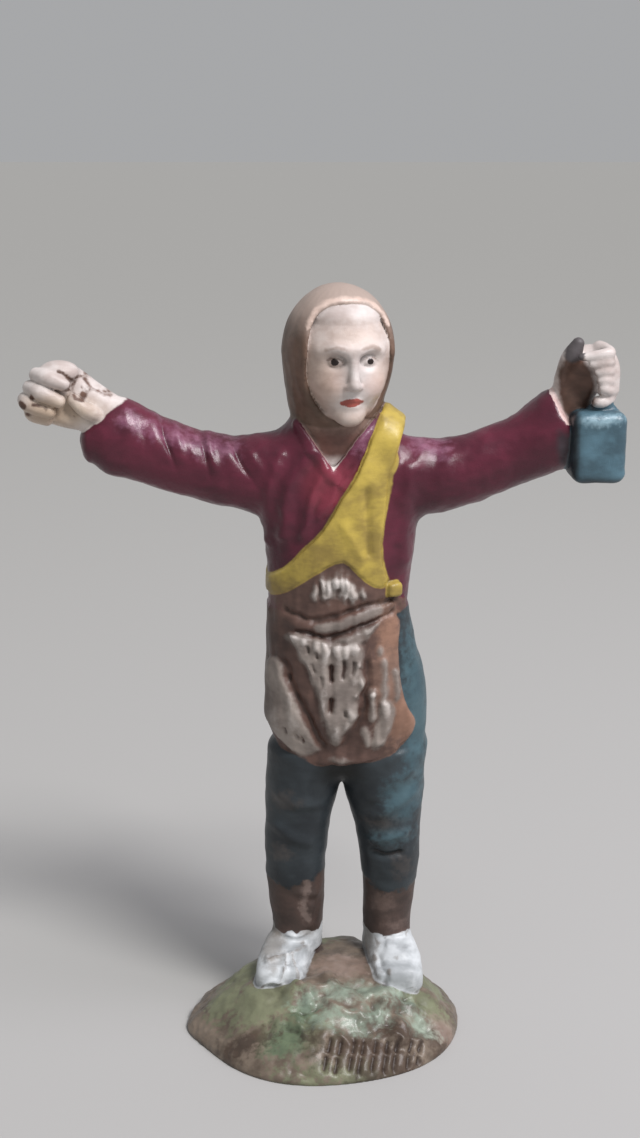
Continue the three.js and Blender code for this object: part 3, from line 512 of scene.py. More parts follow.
# Hands: the fist curls to the front; the other cups its palm and holds the lantern's bar
hands = {
    "fist": [
        (Roll([(-26.2, 2.7, 74.8), (-28.8, 2.4, 76.7), (-31.2, 2.3, 78.2), (-32.8, 2.3, 77.8)],
              (2.6, 2.6, 2.8, 2.5), 0.8), 0.8),
        (Roll([(-27.8, 1.8, 74.6), (-30.6, 1.4, 75.2), (-33.2, 1.7, 75.7)], (1.2, 1.4, 1.2)), 0.7),
        (Egg((-31.5, 1.0, 80.2), (2.3, 1.9, 1.35)), 0.5),
        (Roll([(-33.9, 0.5, 80.0), (-32.5, -0.8, 79.8), (-30.7, -0.9, 79.1)], (0.85, 0.92, 0.75)), 0.16),
        (Roll([(-34.7, 0.8, 78.5), (-33.3, -0.8, 78.2), (-31.4, -0.9, 77.3)], (0.9, 1.0, 0.8)), 0.16),
        (Roll([(-35.4, 1.2, 77.1), (-34.6, -0.4, 76.8), (-32.5, -0.6, 76.0)], (0.9, 0.98, 0.8)), 0.16),
        (Roll([(-35.0, 1.6, 75.9), (-34.4, 0.3, 75.5), (-32.9, 0.1, 75.0)], (0.75, 0.8, 0.7)), 0.16),
        (Roll([(-27.4, 0.7, 75.4), (-28.6, -0.2, 76.2), (-29.8, -0.3, 77.3)], (0.8, 0.85, 0.7)), 0.25),
    ],
    "cupped": [
        (Roll([(26.0, 2.6, 75.8), (26.6, 2.4, 78.6), (27.9, 2.2, 80.8)], (2.3, 2.5, 2.4), 0.75), 0.8),
        (Roll([(25.35, 1.9, 79.2), (25.65, 0.8, 81.7), (26.35, 0.5, 83.5)], (1.35, 1.15, 0.7)), 0.35),
        (Roll([(29.2, 1.5, 82.3), (29.9, 0.9, 80.8), (30.0, 0.9, 78.4)], (1.2, 1.25, 1.2)), 0.3),
        (Roll([(30.1, 0.8, 77.4), (29.2, -0.3, 77.1), (28.3, -0.6, 77.2)], (0.75, 0.75, 0.6)), 0.2),
    ],
    # each folded finger of the cupped hand: height at the knuckle, where its tip lies, height of the tip
    "folded": [(82.9, 26.6, 82.1), (81.9, 27.6, 81.3), (80.8, 28.2, 80.4), (79.7, 28.6, 79.5),
               (78.6, 28.9, 78.7)],
    "hollow": Egg((26.4, -0.6, 78.9), (1.9, 1.7, 2.9)),
    "palmShade": [(25.0, 82.3), (26.1, 82.6), (27.4, 81.3), (28.2, 79.9), (28.4, 78.2), (28.1, 76.8),
                  (27.6, 75.8), (25.4, 75.2), (24.6, 77.4), (24.3, 79.1), (24.3, 80.4)],
}
for knuckle, tipX, tipZ in hands["folded"]:
    bend = [(28.9, 1.8, knuckle), (29.7, 0.0, knuckle - 0.3), (29.2, -0.9, (knuckle + tipZ) / 2),
            (tipX, -1.0, tipZ)]
    hands["cupped"].append((Roll(bend, (0.75, 0.75, 0.65, 0.48)), 0.24))


# The lantern: a blunt box with a rounded rim
lantern = {
    "at": (28.8, 0.4, 72.1),
    "halves": (3.05, 2.8, 4.05),
    "corner": 1.2,
    "turn": math.radians(2),
    "bar": [(28.0, 0.2, 76.1), (29.2, 0.1, 76.4), (30.4, 0.3, 76.1)],
}


# The mound of earth: a profile of (share of the outline, share of the height), its crown set back
mound = {
    "halfWidth": 16.3,
    "halfDepth": 14.9,
    "height": 7.6,
    "profile": [(0, 1), (0.4, 0.96), (0.6, 0.79), (0.74, 0.57), (0.87, 0.34), (0.97, 0.16), (1.0, 0.08)],
    "middle": (-1.6, 0),
    "crown": (0.4, 3.6),
    # a blunt tip at the side of the fist: angle, share of the outline, spread
    "tip": (3.27, 0.05, 0.05),
    # stones: x, y, half width, rise
    "stones": [
        (-4.7, -3.4, 1.5, 0.6), (-1.1, -2.6, 1.2, 0.5), (0.7, -5.4, 1.3, 0.7), (3.0, -6.8, 1.2, 0.6),
        (5.5, -4.5, 1.2, 0.6), (8.0, -2.6, 1.4, 0.5), (11.4, -1.0, 1.8, 0.5), (-9.6, -2.6, 2.1, 0.5),
        (-6.4, -7.6, 1.8, 0.5), (-2.3, -10.0, 1.3, 0.5), (7.1, -8.6, 1.4, 0.6), (-12.4, 3.2, 2.0, 0.5),
        (-7.5, 8.6, 2.2, 0.6), (1.5, 10.2, 2.4, 0.5), (8.5, 7.6, 2.2, 0.6),
    ],
    "ridges": [
        ([(-5.2, -3.2), (-3.0, -4.6), (-0.6, -4.0)], 0.5, 0.45),
        ([(-1.6, -6.2), (0.2, -7.6), (2.6, -8.0)], 0.5, 0.5),
        ([(3.6, -5.2), (5.6, -5.8), (8.6, -4.4)], 0.45, 0.45),
        ([(2.8, -8.6), (4.4, -7.6), (5.2, -6.0)], 0.5, 0.5),
        ([(6.0, -8.6), (7.4, -9.4), (9.4, -8.4)], 0.45, 0.45),
        ([(-4.8, -8.8), (-4.0, -10.2)], 0.45, 0.4),
        ([(0.2, -10.4), (1.4, -11.2), (3.0, -10.9)], 0.45, 0.35),
    ],
    "pits": [(3.7, -6.6, 0.8, -0.6), (6.0, -8.0, 0.9, -0.7), (8.4, -8.9, 0.8, -0.5), (1.2, -10.0, 0.7, -0.4)],
    "marks": {"rows": [((-1.2, -11.5), (9.6, -8.9)), ((-1.7, -13.2), (9.3, -10.7))], "count": 9, "half": 0.28,
              "length": 1.1, "lean": 0.22, "depth": -0.42},
    # patches of colour: x, y, half width, half depth
    "mint": [(-3.6, -6.0, 1.7, 1.1), (0.6, -5.2, 2.2, 1.2), (3.8, -4.4, 2.2, 1.4), (7.0, -4.0, 1.6, 0.9),
             (-1.2, -8.4, 1.8, 1.0), (1.8, -8.8, 1.5, 0.9), (4.4, -7.2, 1.2, 0.9), (9.6, -6.0, 1.6, 1.1)],
    "green": [(-6.4, -10.2, 2.6, 2.0), (-4.4, -7.4, 1.6, 1.6)],
    "olive": [
        (-9.0, -4.6, 4.6, 3.4), (-5.0, -9.5, 4.5, 2.6), (9.8, -3.0, 3.4, 1.8), (-14.0, -2.0, 2.4, 2.4),
        (-12.0, 2.0, 3.0, 3.0), (1.0, -13.8, 6.0, 1.2), (10.5, 2.5, 3.0, 3.0), (-6.0, 9.0, 6.0, 4.0),
        (7.0, 10.0, 5.0, 3.0),
    ],
    # dark earth, and painted shadow: the last two patches darken the ground in front of the lantern shoe's
    # toe and beside the shoe
    "mudAndShadow": [(5.8, -8.4, 3.2, 1.5), (3.8, -11.9, 7.0, 2.1), (-11.0, -9.4, 3.4, 1.3), (-2.0, -10.6, 2.0, 1.0),
            (11.5, -6.5, 2.6, 1.8), (7.2, -4.9, 1.9, 0.8), (3.3, -0.6, 0.8, 1.4)],
    "rust": [(13.0, -5.0, 2.2, 1.6), (0.2, 0.2, 3.6, 2.6)],
}


class Mound:
    def box(self):
        wide, deep = mound["halfWidth"] + 2.8, mound["halfDepth"] + 1.2
        return np.array((-wide, -deep, -0.2)), np.array((wide, deep, mound["height"] + 0.5))

    def outline(self, angle):
        place, longer, spread = mound["tip"]
        tip = longer * np.exp(-((np.mod(angle, 2 * math.pi) - place) ** 2) / spread)
        wobble = 0.015 * np.sin(3 * angle + 0.6) + 0.012 * np.sin(5 * angle - 1.1)
        return 1 + wobble + tip - 0.03 * np.sin(angle) ** 2

    def top(self, x, y):
        # the height of the ground: each level of it is shifted a little further towards the crown
        shares, rises = np.array(mound["profile"], float).T
        (midX, midY), (crownX, crownY) = mound["middle"], mound["crown"]
        share = np.hypot((x - midX) / mound["halfWidth"], (y - midY) / mound["halfDepth"])
        for turn in range(5):
            rise = curve(shares, rises, np.minimum(share, 1))
            lifted = step(rise, 0, 1) * (1 - np.minimum(share, 1))
            dx = (x - midX - lifted * (crownX - midX)) / mound["halfWidth"]
            dy = (y - midY - lifted * (crownY - midY)) / mound["halfDepth"]
            share = np.hypot(dx, dy) / self.outline(np.arctan2(dy, dx))
        return mound["height"] * curve(shares, rises, np.minimum(share, 1)), share

    def distance(self, x, y, z):
        top, share = self.top(x, y)
        around = 0.3
        slopeX = (self.top(x + around, y)[0] - self.top(x - around, y)[0]) / (2 * around)
        slopeY = (self.top(x, y + around)[0] - self.top(x, y - around)[0]) / (2 * around)
        over = (z - top) / np.sqrt(1 + slopeX**2 + slopeY**2)
        beside = (share - 1) * (mound["halfWidth"] + mound["halfDepth"]) / 2
        return softMax(softMax(over, beside, 0.5), -z, 0.15)


# Every form with the paint that it wears and how softly it joins what is there already
joins = {"neckOpening": 0.2, "cuff": 0.5, "neck": 0.25, "eyes": 0.08, "hair": 0.15, "head": 0.3, "palm": 0.6}


def bodyForms():
    pairs = [(smock[f"{side}Sleeve"], Beyond(*smock[f"{side}Cuff"])) for side in ("fist", "lantern")]
    sleeves = [Minus(sleeve, past, joins["cuff"]) for sleeve, past in pairs]
    forms = [("ground", Mound(), 0.3), ("shoe", shoe(-5.5, -7.1), 0.35), ("shoe", shoe(5.9, 7.2), 0.35)]
    forms += [("leg", legs["fist"], 0.6), ("leg", legs["lantern"], 0.6), ("leg", fleece["hips"], 1.7)]
    forms.append(("smock", smock["chest"], 0.6))
    return forms + [("smock", sleeve, smock["join"]) for sleeve in sleeves]


def clothForms():
    chest, hips, ahead, behind = smock["chest"], fleece["hips"], -12, 12
    apron = Layer(hips.grow(*fleece["apronThickness"]), fleece["apron"], ahead, 5.3, wave=0.45)
    bib = Layer(chest.grow(*fleece["bibThickness"]), fleece["bib"], ahead, 1)
    sashFront = Layer(chest.grow(*sash["thickness"]), sash["front"], ahead, 3.0, 0.3, 2)
    sashRear = Layer(chest.grow(*sash["rearThickness"]), sash["rear"], 3.0, behind, 0.3, 1)
    knot = Block(chest.on(*sash["knot"], 0.3), (0.95, 0.8, 0.85), 0.45, math.radians(30))
    forms = [("fleece", apron, 0.2), ("fleece", bib, 0.25)]
    forms += [("sash", sashFront, 0.15), ("sash", sashRear, 0.3), ("sash", knot, 0.15)]
    for aside in sash["strapStrands"]:
        strand = [(px + aside, py, pz - 0.7 * aside) for px, py, pz in sash["strap"]]
        forms.append(("sash", Roll(strand, sash["strapHalf"]), 0.8))
    for paint, path, rear in (("fleece", fleece["beltFront"], False), ("leather", fleece["beltRear"], True)):
        points = [chest.on(x, z, 0.0, rear) for x, z, half in path]
        forms.append((paint, Roll(points, [half for x, z, half in path], 0.85), 0.3))
    opening, thick = smock["neckOpening"], smock["collar"]
    for edge in (opening[:3], [opening[0], opening[6], opening[5]]):
        points = [chest.on(x, z, -0.02) for x, z in edge]
        forms.append(("smock", Roll(points, (thick, thick * 1.25, thick)), 0.75))
    return forms


features, sockets, eyes = faceForms()
hairCap = Turned(Minus(head["hair"], head["opening"], 0.35))
lanternBox = Block(lantern["at"], lantern["halves"], lantern["corner"], lantern["turn"])
groups = {
    "body": bodyForms(),
    "cloth": clothForms(),
    "head": [("skin", Turned(head["skull"]), 0.3)] + features,
    "hands": [("skin", form, blend) for form, blend in hands["fist"] + hands["cupped"]],
    "lantern": [("lantern", lanternBox, 0.3), ("lantern", Roll(lantern["bar"], 0.6), 0.3)],
}


# The block of clay: one field of distances, filled form by form
class Clay:
    def __init__(self):
        self.low = np.array(sculpt["low"])
        self.size = sculpt["voxel"]
        counts = np.ceil((np.array(sculpt["high"]) - self.low) / self.size).astype(int)
        self.axes = [(self.low[i] + self.size * np.arange(counts[i])).astype(np.float32) for i in range(3)]
        self.field = np.full(counts, sculpt["farAway"], np.float32)

    def window(self, form, margin):
        low, high = form.box()
        cut = []
        for i in range(3):
            first = np.searchsorted(self.axes[i], low[i] - margin)
            last = np.searchsorted(self.axes[i], high[i] + margin)
            cut.append(slice(int(first), int(max(last, first + 1))))
        x = self.axes[0][cut[0]][:, None, None]
        y = self.axes[1][cut[1]][None, :, None]
        z = self.axes[2][cut[2]][None, None, :]
        return tuple(cut), (x, y, z)

    def add(self, form, blend):
        cut, place = self.window(form, blend + 4 * self.size)
        self.field[cut] = softMin(self.field[cut], form.distance(*place).astype(np.float32), blend)

    def addAll(self, name):
        for paint, form, blend in groups[name]:
            self.add(form, blend)

    def carve(self, form, blend):
        cut, place = self.window(form, blend + 4 * self.size)
        self.field[cut] = softMax(self.field[cut], -form.distance(*place).astype(np.float32), blend)

    def skin(self):
        grid = openvdb.FloatGrid(sculpt["farAway"])
        grid.copyFromArray(np.clip(self.field, -sculpt["farAway"], sculpt["farAway"]))
        grid.transform = openvdb.createLinearTransform(voxelSize=self.size)
        points, triangles, quads = grid.convertToPolygons(isovalue=0.0, adaptivity=0.0)
        return points + self.low.astype(np.float32), quads


def shapeClay():
    chest = smock["chest"]
    clay, face = Clay(), Clay()
    clay.addAll("body")
    # the neck opening is cut into the smock before anything lies on it
    soft = joins["neckOpening"]
    opening = Layer(chest.grow(2.0), smock["neckOpening"], -12, 1, soft, 1)
    clay.carve(Minus(opening, chest.grow(-smock["openingDepth"]), soft), soft)
    clay.addAll("cloth")
    clay.add(neck, joins["neck"])
    face.addAll("head")
    for form, blend in sockets:
        face.carve(form, blend)
    for form in eyes:
        face.add(form, joins["eyes"])
    face.add(hairCap, joins["hair"])
    clay.field = softMin(clay.field, face.field, joins["head"])
    clay.addAll("hands")
    clay.carve(hands["hollow"], joins["palm"])
    clay.addAll("lantern")
    return clay.skin()


points, quads = shapeClay()
print("clay shaped:", len(points), "points")


# Soft noise from a seeded lattice, for what a hand leaves in clay
class Lattice:
    def __init__(self, seed, size=40):
        self.values = np.random.default_rng(seed).random((size, size, size), dtype=np.float32)
        self.size = size

    def at(self, places, scale, octaves=1):
        total, weight, weights = 0, 1.0, 0.0
        for octave in range(octaves):
            spot = places * np.array(scale) * 2**octave + 7.3 * octave
            cell = np.floor(spot).astype(int)
            t = spot - cell
            t = t * t * (3 - 2 * t)
            for corner in itertools.product((0, 1), repeat=3):
                index = tuple(((cell + corner) % self.size).T)
                share = np.prod(np.where(corner, t, 1 - t), axis=1)
                total = total + weight * share * self.values[index]
            weights += weight
            weight *= 0.5
        return 2 * total / weights - 1


lattice, otherLattice = Lattice(sculpt["seed"]), Lattice(sculpt["seed"] + 1)


def normalsOf(places):
    corners = places[quads]
    face = np.cross(corners[:, 2] - corners[:, 0], corners[:, 3] - corners[:, 1])
    total = np.stack(
        [sum(np.bincount(quads[:, k], face[:, i], len(places)) for k in range(4)) for i in range(3)], axis=1
    )
    return total / np.maximum(np.linalg.norm(total, axis=1, keepdims=True), 1e-12)


def smoothed(values, rounds):
    # each value drawn to the mean of its neighbours
    pairs = np.concatenate([quads[:, [0, 1]], quads[:, [1, 2]], quads[:, [2, 3]], quads[:, [3, 0]]])
    count = np.bincount(pairs.ravel(), minlength=len(values))
    values = values.reshape(len(values), -1)
    for turn in range(rounds):
        total = [
            np.bincount(pairs[:, 0], column[pairs[:, 1]], len(values))
            + np.bincount(pairs[:, 1], column[pairs[:, 0]], len(values))
            for column in values.T
        ]
        values = np.stack(total, axis=1) / count[:, None]
    return values


# Which paint each point wears: how far it is from the nearest form of each paint, less the others
paintLines = {
    "farOff": 4.0,
    "rim": 0.1,
    "waist": 53.0,
    # how far the white of the shoes climbs the shins, how unevenly, and where it starts
    "climb": (10.8, 1.3, 8.4),
    "bare": 0.55,
}


def paintEdges(places):
    worn = sum(groups.values(), [])
    worn += [("hair", hairCap, 0), ("skin", neck, 0)] + [("skin", form, 0) for form in eyes]
    farOff = paintLines["farOff"]
    gaps = {}
    for paint, form, blend in worn:
        low, high = form.box()
        close = np.all((places > low - farOff) & (places < high + farOff), axis=1)
        gap = np.full(len(places), farOff)
        gap[close] = form.distance(*places[close].T)
        gaps[paint] = np.minimum(gaps.get(paint, farOff), gap)
    edges = {}
    for paint, gap in gaps.items():
        others = np.min([other for name, other in gaps.items() if name != paint], axis=0)
        edges[paint] = (gap - others) / 2
    # the hair ends at the rim of its opening
    headX, headY, headZ = toHead(*places.T)
    rim = head["opening"].edge(headX, headZ) - paintLines["rim"]
    hood = (headY < 1.2) & (headZ > 75.3) & (gaps["hair"] < 1.2) & (gaps["sash"] > 0.5)
    edges["hair"] = np.where(hood, -rim, edges["hair"])
    edges["skin"] = np.where(hood, rim, edges["skin"])
    # the breeches begin under the belt
    waist = places[:, 2] - paintLines["waist"]
    edges["leg"] = np.minimum(edges["leg"], np.maximum(waist, edges["smock"]))
    edges["smock"] = np.maximum(edges["smock"], -waist)
    climb, uneven, foot = paintLines["climb"]
    climb = climb + uneven * lattice.at(places, 0.7, 2)
    edges["shoe"] = np.minimum(edges["shoe"], np.maximum(places[:, 2] - climb, foot - places[:, 2]))
    # the floor of the neck opening is skin
    bare = outlineDistance(smock["neckOpening"], *places[:, [0, 2]].T, 1) + paintLines["bare"]
    bare = bare + np.where(places[:, 1] < 1, 0, farOff)
    edges["skin"] = np.minimum(edges["skin"], np.maximum(bare, -np.minimum(gaps["sash"], farOff)))
    edges["smock"] = np.maximum(edges["smock"], -bare)
    return edges


edges = paintEdges(points)
normals = normalsOf(points)
x, y, z = points.T
headX, headY, headZ = toHead(x, y, z)
inFront = step(-normals[:, 1], 0, 0.4)
# places nudged about a little, so that nothing carved or painted runs straight
bentX, bentZ = x + 0.3 * lattice.at(points, 0.8, 2), z + 0.3 * otherLattice.at(points, 0.8, 2)


def wearing(paint, soft=0.35):
    return step(-edges[paint], -soft, soft)


def ridges(shapes, a, b):
    total = 0
    for path, half, height in shapes:
        line = smoothPath(path, 4) if len(path) > 2 else path
        total = total + height * np.exp(-((pathDistance(line, a, b) / half) ** 2))
    return total


def lumps(shapes, a, b):
    height = np.zeros(len(a))
    for middleA, middleB, wide, tall, rise in shapes:
        away = ((a - middleA) / wide) ** 2 + ((b - middleB) / tall) ** 2
        height = np.maximum(height, rise * np.exp(-away))
    return height


# How uneven the clay is under each paint: height, scale and how many finer layers
unevenness = {
    "smock": [(0.14, 0.42, 2), (0.035, 1.7, 1)],
    "fleece": [(0.15, (1.1, 0.7, 0.3), 1), (0.06, (2.2, 1.4, 0.5), 1)],
    "leg": [(0.13, 0.5, 2)],
    "shoe": [(0.1, 0.6, 2)],
    "hair": [(0.1, 0.5, 2)],
    "ground": [(0.14, 1.1, 2)],
    "sash": [(0.14, 0.6, 2)],
    "skin": [(0.03, 0.8, 2)],
    "lantern": [(0.09, 0.8, 2)],
    "leather": [(0.09, 0.8, 2)],
}


# The folds of the smock: from the neck down to the waist, and wrinkles across each sleeve
smockFolds = {
    "chest": [
        ([(-3.6, 71.4), (-5.6, 68.0), (-6.4, 62.0)], 0.75, 0.55),
        ([(-1.8, 69.6), (-3.2, 66.6), (-4.2, 62.4)], 0.65, 0.5),
        ([(-0.6, 68.2), (-1.2, 66.2), (-2.4, 64.4)], 0.5, 0.3),
        ([(-6.8, 71.0), (-8.0, 67.0), (-8.4, 61.0)], 0.8, 0.4),
        ([(2.6, 71.6), (1.2, 69.4), (0.2, 68.0)], 0.6, 0.5),
        ([(7.6, 69.5), (7.2, 64.0), (7.3, 59.0)], 0.9, 0.35),
    ],
    "reach": 4.2,
    # across each sleeve: place, lean, half width, height
    "fistSleeve": [
        (-24.4, 0.4, 0.55, 0.12), (-22.6, 0.8, 0.5, -0.1), (-21.4, 1.2, 0.7, 0.2), (-19.9, 1.0, 0.28, -0.4),
        (-18.9, 1.3, 0.55, 0.26), (-17.2, 1.0, 0.5, 0.12), (-16.1, 1.5, 0.3, -0.3),
        (-15.1, 1.6, 0.55, 0.28), (-13.6, 1.8, 0.6, 0.14), (-12.2, 2.3, 0.32, -0.28),
        (-10.9, 2.4, 0.75, 0.3), (-9.0, 2.6, 0.8, 0.2),
    ],
    "lanternSleeve": [(9.4, -1.0, 0.8, 0.26), (11.2, -1.4, 0.6, -0.14), (13.0, -1.8, 0.9, 0.16),
                      (16.4, -1.8, 1.0, 0.1)],
}


def smockRelief():
    height = inFront * ridges(smockFolds["chest"], bentX, bentZ) * step(np.abs(x), 10.5, 8.5)
    for name in ("fistSleeve", "lanternSleeve"):
        sleeve = smock[name]
        middle = sleeve.values(np.clip(x, sleeve.table[0, 0], sleeve.table[-1, 0]))[0]
        fall = (middle + smockFolds["reach"] - z) / smockFolds["reach"]
        upper = step(0.5 * normals[:, 2] - 0.9 * normals[:, 1], 0.0, 0.7)
        for place, lean, half, rise in smockFolds[name]:
            bent = place + lean * fall + 0.25 * np.sin(3.1 * fall + 2.3 * place)
            fade = np.exp(-(((fall - 0.35 - 0.15 * math.sin(5 * place)) / 0.5) ** 2))
            height = height + upper * fade * rise * np.exp(-(((x - bent) / half) ** 2))
    return height


# Wool: raised panels, tufts, strands, grooves and slits
def woolPanels():
    return {name: outlineDistance(fleece[name], bentX, bentZ) for name in fleece["rises"]}


def fleeceRelief():
    height = lumps(fleece["tufts"], bentX, bentZ)
    for name, gap in woolPanels().items():
        fade = 1 if name != "panel" else step(bentX + 0.5 * (47.5 - bentZ), -9.5, -7.0)
        height = height + fleece["rises"][name] * step(-gap, -0.2, 0.4) * fade
    for name in ("strands", "grooves", "slits"):
        height = height + ridges(fleece[name], bentX, bentZ)
    return inFront * height


def legRelief():
    breeches = legs["hemRise"] * step(bentZ - np.interp(x, *legs["hem"]), -0.3, 0.4)
    return breeches + inFront * ridges(legs["folds"], x, z)


shoeCuts = [
    ([(-8.6, 8.9), (-6.3, 9.2), (-4.2, 9.5)], 0.3, 0.42),
    ([(-6.4, 9.2), (-6.9, 7.7), (-7.5, 6.8)], 0.28, 0.36),
    ([(-5.8, 9.2), (-5.3, 8.2), (-5.0, 7.2)], 0.28, 0.36),
    ([(-9.4, 6.2), (-8.5, 7.1), (-7.3, 7.0), (-6.5, 6.2)], 0.3, 0.42),
    ([(-7.2, 11.2), (-5.6, 10.7), (-4.2, 11.0)], 0.4, 0.4),
    ([(6.0, 9.8), (7.6, 9.4), (8.8, 9.7)], 0.45, 0.35),
    ([(6.4, 11.4), (7.4, 11.0), (8.4, 11.3)], 0.45, 0.35),
    ([(4.9, 8.9), (5.6, 7.8), (5.4, 6.6)], 0.4, -0.3),
]


def hairRelief():
    # combed lines, deeper at the back of the head, and a raised rim round the face
    angle = np.arctan2(headX, -headY)
    strand = np.sin(26 * angle + 2.2 * lattice.at(points, 0.35)) * step(z, 74.5, 77)
    rim = 0.12 * np.exp(-((head["opening"].edge(headX, headZ) - 0.4) / 0.45) ** 2) * (headY < 0)
    combed = 0.014 + 0.035 * step(headY, -1.0, 2.5)
    return combed * strand + rim


def clods(size, seed):
    # rounded lumps of earth lying side by side
    ground = edges["ground"] < 0.4
    places = points[ground]
    repeat = 24
    spread = np.random.default_rng(seed).random((repeat, repeat, repeat, 4))
    bend = [noise.at(places, 0.5) for noise in (lattice, otherLattice, lattice)]
    spot = places / size + 0.3 * np.stack(bend, axis=1)
    cell = np.floor(spot).astype(int)
    rise = np.full(len(places), -1.0)
    for corner in itertools.product((-1, 0, 1), repeat=3):
        there = cell + corner
        own = spread[tuple((there % repeat).T)]
        gap = np.sum((there + own[:, :3] - spot) ** 2, axis=1)
        rise = np.maximum(rise, 0.7 * own[:, 3] - 1.2 * gap)
    height = np.zeros(len(points))
    height[ground] = rise
    return height


def bumps(shapes, power=1.0):
    # round lumps or pits of the ground: x, y, half width, rise
    total = 0
    for middleX, middleY, half, rise in shapes:
        total = total + rise * np.exp(-(((x - middleX) ** 2 + (y - middleY) ** 2) / half**2) ** power)
    return total


def moundRelief():
    up = step(normals[:, 2], 0.1, 0.5) * step(z, 0.3, 1.4)
    rough = 0.95 * clods(4.1, 5) + 0.4 * clods(1.9, 8) - 0.4
    rough = rough * step(lattice.at(points, 0.22), -0.35, 0.3)
    front = 0.35 + 0.75 * step(-y, 0, 4) * step(np.abs(x - 2.5), 12, 6.5)
    marks = mound["marks"]
    gap = np.min([pathDistance(path, x, y) for path in markPaths()], axis=0)
    cut = marks["depth"] * np.exp(-((gap / marks["half"]) ** 2))
    front = front * (1 - 0.75 * np.exp(-(gap**2)))
    height = bumps(mound["stones"], 1.6) + bumps(mound["pits"]) + ridges(mound["ridges"], bentX, y)
    return up * (height + front * rough) + cut * step(-y, 8, 9)


def markPaths():
    # two rows of short strokes, all leaning the same way
    marks = mound["marks"]
    dx, dy = math.sin(marks["lean"]) * marks["length"] / 2, math.cos(marks["lean"]) * marks["length"] / 2
    paths = []
    for (fromX, fromY), (toX, toY) in marks["rows"]:
        for share in np.linspace(0, 1, marks["count"]):
            middleX = fromX + (toX - fromX) * share + 0.15 * math.sin(31 * share)
            middleY = fromY + (toY - fromY) * share**1.8 + 0.12 * math.cos(23 * share)
            paths.append([(middleX - dx, middleY - dy), (middleX + dx, middleY + dy)])
    return paths


sashCreases = [([(2.9, 67.4), (3.2, 60.4)], 0.5, -0.3), ([(0.4, 63.4), (2.4, 60.0)], 0.6, 0.2)]


def fineRelief():
    shaped = {
        "smock": smockRelief(),
        "fleece": fleeceRelief(),
        "leg": legRelief(),
        "shoe": inFront * ridges(shoeCuts, bentX, bentZ),
        "hair": hairRelief(),
        "ground": moundRelief(),
        "sash": inFront * ridges(sashCreases, x, z),
    }
    height = 0
    for paint, layers in unevenness.items():
        uneven = sum(rise * lattice.at(points, scale, octaves) for rise, scale, octaves in layers)
        height = height + wearing(paint) * (shaped.get(paint, 0) + uneven)
    # nothing stands out at the foot of the mound
    return height * step(z, 0.05, 0.5)


relief = fineRelief()
carved = points + normals * relief[:, None]
carved[:, 2] = np.maximum(carved[:, 2], 0)
carvedNormals = normalsOf(carved)
print("relief carved")


# What the brush left: each mark as a distance in millimetres, negative inside it
def blot(a, b, middleA, middleB, halfA, halfB):
    return (np.hypot((a - middleA) / halfA, (b - middleB) / halfB) - 1) * min(halfA, halfB)


def spots(places, a, b):
    return np.min([blot(a, b, *place) for place in places], axis=0)


# Spots of paint or wear, some of them painted shade, shadow or highlight: middle x and z, half width, half
# height
daubs = {
    "warm": [(6.4, 44.0, 2.8, 7.5), (5.4, 53.8, 1.8, 0.9)],
    "tan": [(7.8, 40.6, 2.4, 3.6), (5.6, 50.6, 1.4, 2.4)],
    # painted shade: the fleece darkened on its left side, away from the light
    "fleeceLeftShade": [(-8.8, 50.4, 3.0, 4.0), (-9.4, 41.0, 1.8, 4.6)],
    "shinDark": [(-3.0, 14.5, 0.9, 2.8), (8.2, 14.4, 0.9, 2.6), (4.0, 12.2, 0.7, 1.5),
                 (-6.8, 13.0, 0.8, 1.2)],
    "shinPale": [(5.4, 15.2, 1.3, 1.3), (6.8, 12.0, 1.0, 0.6)],
    "dabs": [(-6.4, 29.2, 1.5, 1.2), (5.2, 26.4, 1.5, 0.7), (-7.0, 22.2, 1.2, 1.0), (7.6, 20.4, 0.9, 1.3)],
    # lighter teal on the lantern thigh, knee and hip: partly the breeches' own paint, partly a painted
    # highlight on their lit side
    "washAndHighlight": [(7.6, 29.8, 2.2, 3.0), (9.0, 41.0, 1.8, 11.0), (6.6, 24.6, 1.6, 0.9)],
    # painted shadow between the legs, under the fleece
    "forkShadow": [(0.3, 33.6, 2.4, 2.2)],
    "sashFade": [(-8.4, 55.0, 3.6, 1.7)],
    "palmWarm": [(-31.6, 75.9, 4.2, 1.9)],
    "shoeSoil": [(-7.2, 4.9, 4.0, 0.6), (7.4, 5.0, 4.0, 0.5), (3.9, 9.6, 0.7, 2.6), (-8.2, 10.4, 1.5, 2.0),
                 (-3.6, 11.6, 1.0, 0.9)],
    # painted highlight along the lantern's top front edge
    "lanternTopHighlight": [(29.1, 75.2, 2.3, 0.45)],
}
daubsInFront = ("warm", "tan", "shinPale", "dabs", "lanternTopHighlight")
straightDaubs = ("washAndHighlight", "forkShadow", "sashFade")
chips = {
    "shoe": [
        (-5.6, 11.6, 0.3, 0.2), (-7.6, 10.6, 0.5, 0.3), (-4.4, 9.9, 0.22, 0.18), (5.2, 11.6, 0.2, 0.15),
        (6.4, 11.9, 0.25, 0.15), (7.4, 11.0, 0.3, 0.14), (4.6, 10.2, 0.15, 0.3), (5.6, 10.4, 0.16, 0.14),
        (7.0, 9.0, 0.2, 0.14), (8.9, 6.2, 0.5, 0.2), (5.4, 6.4, 0.3, 0.2), (4.3, 8.6, 0.25, 0.3),
        (8.3, 10.6, 0.2, 0.2), (6.0, 8.1, 0.3, 0.25), (5.0, 11.0, 0.3, 0.14),
    ],
    "fist": [(-35.4, 76.8, 0.5, 0.5), (-34.3, 77.7, 0.3, 0.35), (-34.9, 75.7, 0.4, 0.25),
             (-29.9, 75.4, 0.2, 0.16)],
    # painted shade where the fist meets its sleeve
    "wristShade": [(-28.7, 77.9, 0.45, 0.4), (-26.3, 77.9, 0.6, 0.16)],
}
